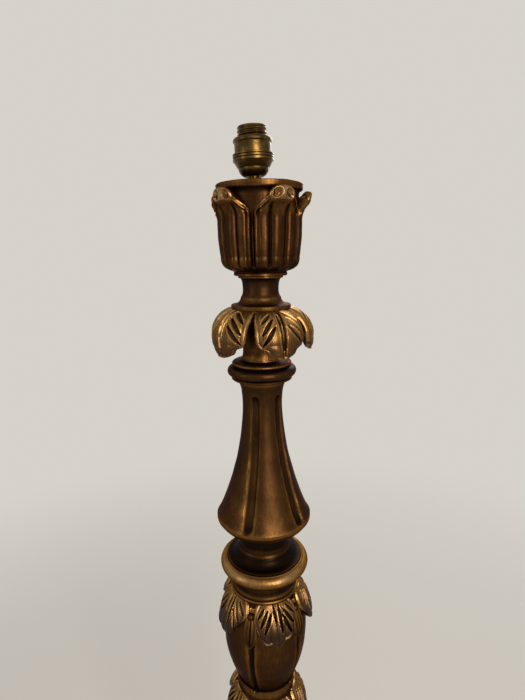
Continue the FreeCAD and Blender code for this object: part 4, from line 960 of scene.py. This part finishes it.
# %% Vase and column bodies
VASE_FLUTES = -19.5
BETWEEN = FLUTES + 360 / 5 / 2
vase = turn("vase_carved", [
    (BORE, 0), (33.8, 0), (34.4, 0.5, 0.1), (34.4, 2.1, 0.2), (33.8, 2.6, 0.1),
    (32.4, 3.2), (32.8, 5, -0.1), (47.6, 64, 3.6), (39, 112, 3.2), (37, 119, -0.3),
    (36.6, 121.4, 0.3), (38.6, 122.8, -0.2), (39, 124, 0.5), (38.2, 125.2, 0.2),
    (36.8, 125.5), *socket(125.5, 115)], foot["vase"], 240, 1.3)
flute(vase, foot["vase"], VASE_FLUTES, (1, 82), (3.1, 4.0), 2.8, inner=31)
hand_made(vase, 0.12, 12)
dress(vase, wood, stands_for=("vase",), rounds=12)
column = turn("column_carved", [
    (BORE, 0), (30.6, 0), (31, 0.5, 0.1), (30.6, 1.5), (30.5, 8.5, 3.2), (28.4, 9.4),
    (27.5, 12, -0.4), (40.5, 418), (42.4, 440, 0.4), (34, 500, 5.0), (33.4, 513.5, -0.6),
    *socket(513.5, 503)], foot["column"], 200, 2.0)
flute(column, foot["column"], FLUTES, (34, 432), (4.4, 5.2), 2.8)
flute(column, foot["column"], BETWEEN, (60, 392), (2.6, 3.2), 1.6)
hand_made(column, 0.16, 13)
dress(column, wood, stands_for=("column",), rounds=12)

# %% [markdown]
# ## Leaves on the shoulders
# These leaves lie on the wood, so they are shorter, thicker and spread like a fan, with
# eight cuts that run from the fillet towards the lobes. Both rings share one outline and
# one set of cuts, and only the line they are bent over differs. They got less wax than
# the collar's, which leaves their ground brown.

# %% Vase and column leaves
LAID_CUTS = [((-2.4, 1), (-0.8, 22), 1.7, 2.4), ((3.0, 1), (5.0, 31), 2.0, 2.8),
             ((-5.0, 9), (-14.5, 30), 1.9, 2.8), ((-8.4, 6.5), (-18.5, 24), 1.8, 2.6),
             ((-12.4, 5), (-20.5, 16), 1.5, 2.2), ((6.6, 12), (15.5, 33), 2.0, 2.8),
             ((7.4, 6.5), (19.5, 25), 2.0, 2.8), ((11.2, 4), (21.5, 16), 1.6, 2.4)]
LAID_EDGE = [(18, 0), (21.4, 5), (24, 11), (25.8, 18), (26.6, 25), (25.4, 32), (23.4, 38),
             (21.4, 42.8)]
FIRST_LAID_LEAF = 15.5
SHOULDERS = {
    "vase": [(37.6, 122.8), (39.3, 122.6), (54.1, 91.5, -2.2), (52, 78.6, -1.0)],
    "column": [(33.6, 500), (35, 499.8), (49, 467, -3.4), (47.2, 453, -0.9)],
}
for node, shoulder in SHOULDERS.items():
    leaf_ring(node + "_leaves", shoulder, LAID_EDGE, FIRST_LAID_LEAF, foot[node], 4.4,
              LAID_CUTS, 0.9, gilded, lobes=3, puff=1.2, wax_and_painted_light=-0.2)

# %% [markdown]
# ## Small leaves behind them
# In each gap a narrow plain leaf with one cut peeps out, as a second row lies behind the
# first on a real flower. It is the same leaf function with a narrower edge, fewer points
# and the plain waxed finish, because it lies in the shade of its neighbours.

# %% Under-leaves
UNDER_EDGE = [(5, 0), (7.5, 10), (8.6, 24), (8.2, 34), (5.6, 40), (2.6, 44), (0.6, 46)]
UNDER_CUT = [((0, 6), (0, 43), 1.4, 1.6)]
UNDER_LINES = {
    "vase": [(38.4, 116), (49.6, 84, -2.4), (48.4, 70, -0.6)],
    "column": [(34.4, 496), (44.6, 460, -3), (43.6, 446, -0.6)],
}
for node, under_line in UNDER_LINES.items():
    leaf_ring(node + "_under_leaves", under_line, UNDER_EDGE, FLUTES + 0.5, foot[node], 3.0,
              UNDER_CUT, 0.4, wood, grid=(30, 56))

# %% [markdown]
# ## Berries
# A carver leaves a small round berry where two leaves part, and it hides the awkward
# corner between them. A sphere is the start; it is then drawn a little taller than wide
# and gets the dimple of its dried flower at the bottom.


# %% Berries between the leaves
def berries(name, radius, height, size):
    """One round berry in each gap between the leaves."""
    free_hands()
    bpy.ops.mesh.primitive_uv_sphere_add(segments=32, ring_count=20, radius=size * MM)
    berry = bpy.context.object
    away = points_of(berry)
    near_tip = np.linalg.norm(away - [0, 0, -size], axis=1) / size
    away[:, 2] = away[:, 2] * 1.12 + ridge(near_tip, 0, 0.5, 0.4 * size)
    put_points(berry, away + [0, -radius, height])
    ring = copies_round(berry, name, fifths(FLUTES))
    return dress(ring, wood, depth=2.2, rounds=4)


berries("vase_berries", 42.8, foot["vase"] + 109, 3.9)
berries("column_berries", 38.6, foot["column"] + 487, 3.8)

# %% [markdown]
# ## Candle cup
# The cup under the bulb holder is a tulip: five petals stand round a plain inner cup,
# whose rim band shows above them and between their tips. The inner cup is turned, with a
# foot ring on which it sits and a flat top that lies a little below its rim.

# %% Inner cup
cup_core = turn("cup_core_turned", [
    (11, -0.1), (26, 0), (26.8, 0.8, 0.2), (26.8, 2.8), (26.2, 3.4, 0.1), (27, 4.6),
    (35.4, 16, 2.6), (37.6, 40, 0.8), (38.2, 74), (39, 78.6, -0.4), (41.4, 80.2, -0.2),
    (41.9, 81, 0.1), (42.4, 85.2), (41.7, 86, 0.3), (39.2, 86), (38.4, 85.2, -0.2),
    (36, 84.4, -0.2), (11, 84.4)], foot["candle_cup"], 160, 1.2)
hand_made(cup_core, 0.1, 21)
store(cup_core, "wax_and_painted_light", np.interp(points_of(cup_core)[:, 2] - foot["candle_cup"],
                                 [0, 4, 8, 78, 80, 86], [-0.12, -0.12, 0, 0, -0.06, -0.06]))
dress(cup_core, cup_wood, stands_for=("candle_cup",))

# %% [markdown]
# ## Petals
# A petal is a sheet bent round the cup, wide below and drawn in through an ogee to a
# narrow arm that leans out at the tip. Each has three upright ribs between two broad
# grooves, and a dark line where it meets its neighbour. The borders of the arms are
# beaded. Below, only a wall of wood is needed; above the panels the wood is solid right
# back to the cup, or the arms would stand free like hooks.


# %% Petals
FIRST_PETAL = 26    # degrees from the front to the first petal's middle
PETAL_WALL = 3.4
CUP_WALL = 38.5     # radius up to which the wood behind an arm is solid
# grooves and ribs: degrees from the petal's middle, half width, height and squareness
RIBS = ((11.8, 1.9, -2.3, 2), (0, 5.0, 1.1, 4), (21.5, 4.2, 0.9, 4), (27.6, 1.3, -0.7, 2),
        (31.2, 2.0, 0.9, 2))
BEAD = ((2.0, 1.3, 1.1), (5.0, 1.8, -0.9))    # counted inwards from the arm's edge


def petal_ring(name):
    """Five ribbed petals with ogee edges and rolled tips."""
    gone, line = along_line([
        (26.6, 3.6), (27.6, 4.6, 0.1), (38.4, 18.5, 3.6), (40.6, 53, 0.8),
        (47.2, 67, -1.5), (49, 72.6, 0.4), (45, 77, 1.2)])
    first, flat = sheet(90, 120)
    up = (1 + flat[:, 1]) / 2 * gone[-1]
    radius = np.interp(up, gone, line[:, 0])
    height = np.interp(up, gone, line[:, 1])
    wide = np.interp(height, [3, 56, 58.5, 60.5, 63, 66, 69, 72, 76],
                     [35.4, 35.3, 34.6, 31.5, 27, 22.2, 18, 14.8, 13.4])
    angle = np.radians(flat[:, 0] * wide)
    degrees = np.abs(np.degrees(angle))
    arc = np.radians(1) * radius

    # ribs and grooves, fading out at the foot and under the rolled tip
    push = 0 * up
    for place, width, high, square in RIBS:
        push += ridge(degrees * arc, place * arc, width, high, square)
    push *= smooth_step(height, 5, 11) * smooth_step(-height, -68, -60)
    # the line between neighbours, and the bead along the arm's edges
    border = (wide - degrees) * arc
    arm = smooth_step(height, 52, 60)
    push += ridge(border, 0, 1.5, -2.0)
    for place, width, high in BEAD:
        push += ridge(border, place, width, high) * arm
    out_r = np.interp(up, gone, np.gradient(line[:, 1], gone))
    out_z = -np.interp(up, gone, np.gradient(line[:, 0], gone))

    def bent(offset):
        """Points of the petal at an offset from the cup's face."""
        return laid_round(radius + out_r * offset, angle,
                          height + out_z * offset + foot["candle_cup"])

    back = bent(0 * push - PETAL_WALL)
    deep = np.hypot(back[:, 0], back[:, 1])
    solid = smooth_step(height, 44, 56)
    back[:, :2] *= (1 + solid * (np.minimum(deep, CUP_WALL) / deep - 1))[:, None]
    give_wood(first, bent, push, PETAL_WALL, back)
    # glaze lies in the lines between the petals, and the arms are rubbed a little
    wax_and_painted_light_levels = ridge(border, 0, 2.6, -0.45) * (1 - arm) + 0.1 * arm
    store(first, "wax_and_painted_light", np.concatenate([wax_and_painted_light_levels, 0 * wax_and_painted_light_levels]))
    ring = copies_round(first, name, fifths(FIRST_PETAL))
    hand_made(ring, 0.1, 22)
    return dress(ring, cup_wood, angle=50)


petal_ring("cup_petals")

# %% [markdown]
# ## Rolled tips
# Every arm ends in a roll of wood with two round scoops side by side, painted bright as a
# highlight because its faces turn up to the light. A sphere is squared off a little,
# stretched across the petal, and the scoops are pressed into its outward face with a
# raised edge round each. The roll leans out at its top and its ends droop into the arm, so
# that no seam shows.


# %% Rolled tips of the petals
TIP_SIZE = (12.6, 4.6, 6.4)                          # half width, depth and height
SCOOPS = ((-5.6, 3.9, 2.4), (5.9, 3.7, 2.2))         # place, radius and depth
TIP_RADIUS, TIP_HEIGHT = 46.2, 74                    # from the axis and the cup's foot
CURVE = 46                                           # radius that the roll is bent to


def petal_tips(name):
    """Five rolled tips, each with two round scoops in its outward face."""
    free_hands()
    bpy.ops.mesh.primitive_uv_sphere_add(segments=88, ring_count=72, radius=1)
    first = bpy.context.object
    ball = points_of(first) * MM
    ball = np.sign(ball) * np.abs(ball) ** 0.78
    across, out, up = (TIP_SIZE[0] * ball[:, 2], TIP_SIZE[1] * ball[:, 0],
                       -TIP_SIZE[2] * ball[:, 1])
    for middle, wide, deep in SCOOPS:
        away = np.hypot(across - middle, up - 0.3)
        scoop = ridge(away, 0, wide, -deep, 4) + ridge(away, wide + 0.7, 0.8, 0.5)
        out = out + scoop * smooth_step(ball[:, 0], 0.1, 0.5)
    out += 0.25 * up
    up -= 0.02 * across ** 2
    put_points(first, laid_round(TIP_RADIUS + out, across / CURVE,
                                 foot["candle_cup"] + TIP_HEIGHT + up))
    # the whole roll is painted bright as a highlight
    store(first, "wax_and_painted_light", 0.36 + 0 * up)
    ring = copies_round(first, name, fifths(FIRST_PETAL))
    hand_made(ring, 0.12, 24)
    return dress(ring, cup_wood, angle=60, depth=5.0)


petal_tips("petal_tips")

# %% [markdown]
# ## Screw shell
# The bulb screws into a shell of thin brass, rolled into a thread of 3.6 mm pitch, which
# shows as soft turns above the barrel. It is turned as a plain tube with a rounded lip,
# and then each point moves in or out with a wave that climbs one pitch per turn, which
# dies away at the lip. A Screw modifier would also make a thread, but not one that fades.
# The whole holder on this lamp leans a little, so the shell is set upright in its mesh
# first and then tilted to the frame's lean.

# %% Screw shell
PITCH = 3.6
LIP = 44.7                                    # height of the shell's lip over its seat
SEAT = Vector((-4.9027, 0, 1455.395)) * MM    # the holder's foot, as in the frame
LEAN = math.radians(-2)
shell = turn("screw_shell_rolled", [
    (13.0, 20.4), (13.5, 20.4), (13.5, 44.3), (13.3, LIP, 0.1), (13.1, LIP, 0.1),
    (13.0, 44.3)], 0, 96, 0.45)
spots = points_of(shell)
angle = np.arctan2(spots[:, 0], -spots[:, 1])
wave = np.cos((spots[:, 2] - LIP) / PITCH * 2 * math.pi - angle)
swell = 0.08 + 0.6 * wave * smooth_step(-spots[:, 2], -44.4, -43.0)
spots[:, :2] *= (1 + swell / np.hypot(spots[:, 0], spots[:, 1]))[:, None]
put_points(shell, spots)
shell.data.transform(Matrix.Translation(SEAT) @ Matrix.Rotation(LEAN, 4, "Y"))
dress(shell, brass, stands_for=("screw_shell",), depth=0.8)

# %% [markdown]
# ## The frame's own pieces
# The barrel, the cap and all that is hidden have no finer form than the frame already
# gives them, so those pieces stay as they are and only get the finish of their kind.

# %% Finishes of the frame's own pieces
members = {
    brass: ["holder_cap", "holder_barrel", "knurled_nut", "tie_tube", "top_washer"],
    bronze_strip: ["contact_tongue", "contact_foot"],
    porcelain: ["porcelain_core"],
    zinc: ["terminal_screws", "foot_screws", "weight_screws", "cover_screws",
           "bottom_washer", "bottom_nut"],
    iron: ["base_weight"],
    felt: ["floor_pads"],
    board: ["base_cover"],
    nylon: ["cable_bush"],
}
for finish, names in members.items():
    for name in names:
        nodes[name].data.materials.clear()
        nodes[name].data.materials.append(finish)
print("finished frame pieces", sum(len(names) for names in members.values()))

# %% [markdown]
# ## Floor
# The lamp stands on a plain pale floor that only has to catch its shadow. A floor with an
# edge would cut the picture in two, so its paint fades to clear with distance and the
# even backdrop takes over. The paint is matt, with the faint grain that a roller leaves.

# %% Floor
FADE_FROM, FADE_TO = 0.7, 2.6      # metres from the lamp
ROLLER_GRAIN_MM = 3
free_hands()
bpy.ops.mesh.primitive_plane_add(size=14, location=(0, 0, 0))
floor = bpy.context.object
floor.name = "studio_floor"
matt_paint = new_finish("pale_floor_paint")
place = add(matt_paint, "TexCoord", out="Object")
far = add(matt_paint, "VectorMath", {"operation": "LENGTH"}, {0: place}, "Value")
fade = add(matt_paint, "MapRange", {"interpolation_type": "SMOOTHSTEP",
                                    "From Min": FADE_FROM, "From Max": FADE_TO},
           {"Value": far})
grain = add(matt_paint, "TexNoise", {"Scale": 1 / (ROLLER_GRAIN_MM * MM), "Detail": 3},
            {"Vector": place})
bump = add(matt_paint, "Bump", {"Strength": 0.1, "Distance": 0.0002}, {"Height": grain},
           "Normal")
paint = add(matt_paint, "BsdfPrincipled", {"Base Color": linear("#cdc9c2"),
                                           "Roughness": 0.7}, {"Normal": bump})
clear = add(matt_paint, "BsdfTransparent")
both = add(matt_paint, "MixShader", (), {0: fade, 1: paint, 2: clear})
add(matt_paint, "OutputMaterial", (), {"Surface": both})
floor.data.materials.append(matt_paint)
print("floor fades out from", FADE_FROM, "to", FADE_TO, "m")

# %% [markdown]
# ## Backdrop and lamps
# The room has two jobs: it lights the lamp softly, and it is the pale ground behind it.
# The Light Path node parts them, so that the ground's tone can be chosen without changing
# the light. Glossy and transmitted rays see the ground too, so that what the brass and
# the wax mirror is as pale and even as what stands behind the lamp.
# The rest is a plain studio: a large soft window in front to the right, a weak one to the
# left and a third one behind, which draws a thin edge of light down the turned wood.

# %% Backdrop
world = bpy.data.worlds.new("studio")
bpy.context.scene.world = world
world.use_nodes = True
world.node_tree.nodes.clear()
seen = add(world, "LightPath", out="Is Camera Ray")
for ray in ("Is Glossy Ray", "Is Transmission Ray"):
    seen = add(world, "Math", {"operation": "MAXIMUM"},
               {0: seen, 1: add(world, "LightPath", out=ray)})
room = add(world, "Background", {"Color": linear("#f4f1ec"), "Strength": 0.55})
backdrop = add(world, "Background", {"Color": linear("#d6d2ca"), "Strength": 1.0})
both = add(world, "MixShader", (), {0: seen, 1: room, 2: backdrop})
add(world, "OutputWorld", (), {"Surface": both})
print("backdrop nodes", len(world.node_tree.nodes))


# %% Lamps
def window(name, place, target, size, power, colour):
    """A soft rectangular lamp aimed at a point."""
    light = bpy.data.lights.new(name, "AREA")
    light.shape = "RECTANGLE"
    light.size, light.size_y = size
    light.energy = power
    light.color = linear(colour)[:3]
    holder = bpy.data.objects.new(name, light)
    bpy.context.scene.collection.objects.link(holder)
    holder.location = place
    holder.rotation_euler = (Vector(target) - Vector(place)).to_track_quat(
        "-Z", "Y").to_euler()
    print(name, power, "W")


window("window_right", (0.75, -1.8, 1.75), (0, 0, 1.15), (0.8, 1.5), 40, "#fff8ee")
window("window_left", (-1.9, -1.2, 1.7), (0, 0, 1.0), (0.6, 1.6), 8, "#f3f5ff")
window("window_back", (0.8, 2.0, 2.2), (0, 0, 1.0), (1.2, 1.2), 20, "#ffffff")

# %% [markdown]
# ## Camera
# The camera stands where the photo was taken from: close in front of the lamp, level with
# its cup and turned 12 degrees down. These numbers were found by fitting the ellipses
# that the turned rings show. The camera's axes are built one by one, forward, right and
# up, so that the small roll of a hand-held camera turns about the line of sight.

# %% Camera
PITCH_DOWN, ROLL = math.radians(12.0546), math.radians(-0.7442)
EYE = (0.964 * MM, -0.466, 1.38495)
FOCAL_LENGTH, FILM_HEIGHT = 23.63, 36
forward = Vector((0, math.cos(PITCH_DOWN), -math.sin(PITCH_DOWN)))
level, upright = Vector((1, 0, 0)), Vector((0, math.sin(PITCH_DOWN), math.cos(PITCH_DOWN)))
right = level * math.cos(ROLL) + upright * math.sin(ROLL)
up = upright * math.cos(ROLL) - level * math.sin(ROLL)
lens = bpy.data.cameras.new("photo_camera")
lens.sensor_fit = "VERTICAL"
lens.sensor_height = FILM_HEIGHT
lens.lens = FOCAL_LENGTH
lens.clip_start = 0.02
camera = bpy.data.objects.new("photo_camera", lens)
bpy.context.scene.collection.objects.link(camera)
camera.matrix_world = Matrix((
    (right.x, up.x, -forward.x, EYE[0]), (right.y, up.y, -forward.y, EYE[1]),
    (right.z, up.z, -forward.z, EYE[2]), (0, 0, 0, 1)))
bpy.context.scene.camera = camera
bpy.context.scene.view_settings.view_transform = "Standard"
print("camera at", [round(number, 3) for number in EYE])
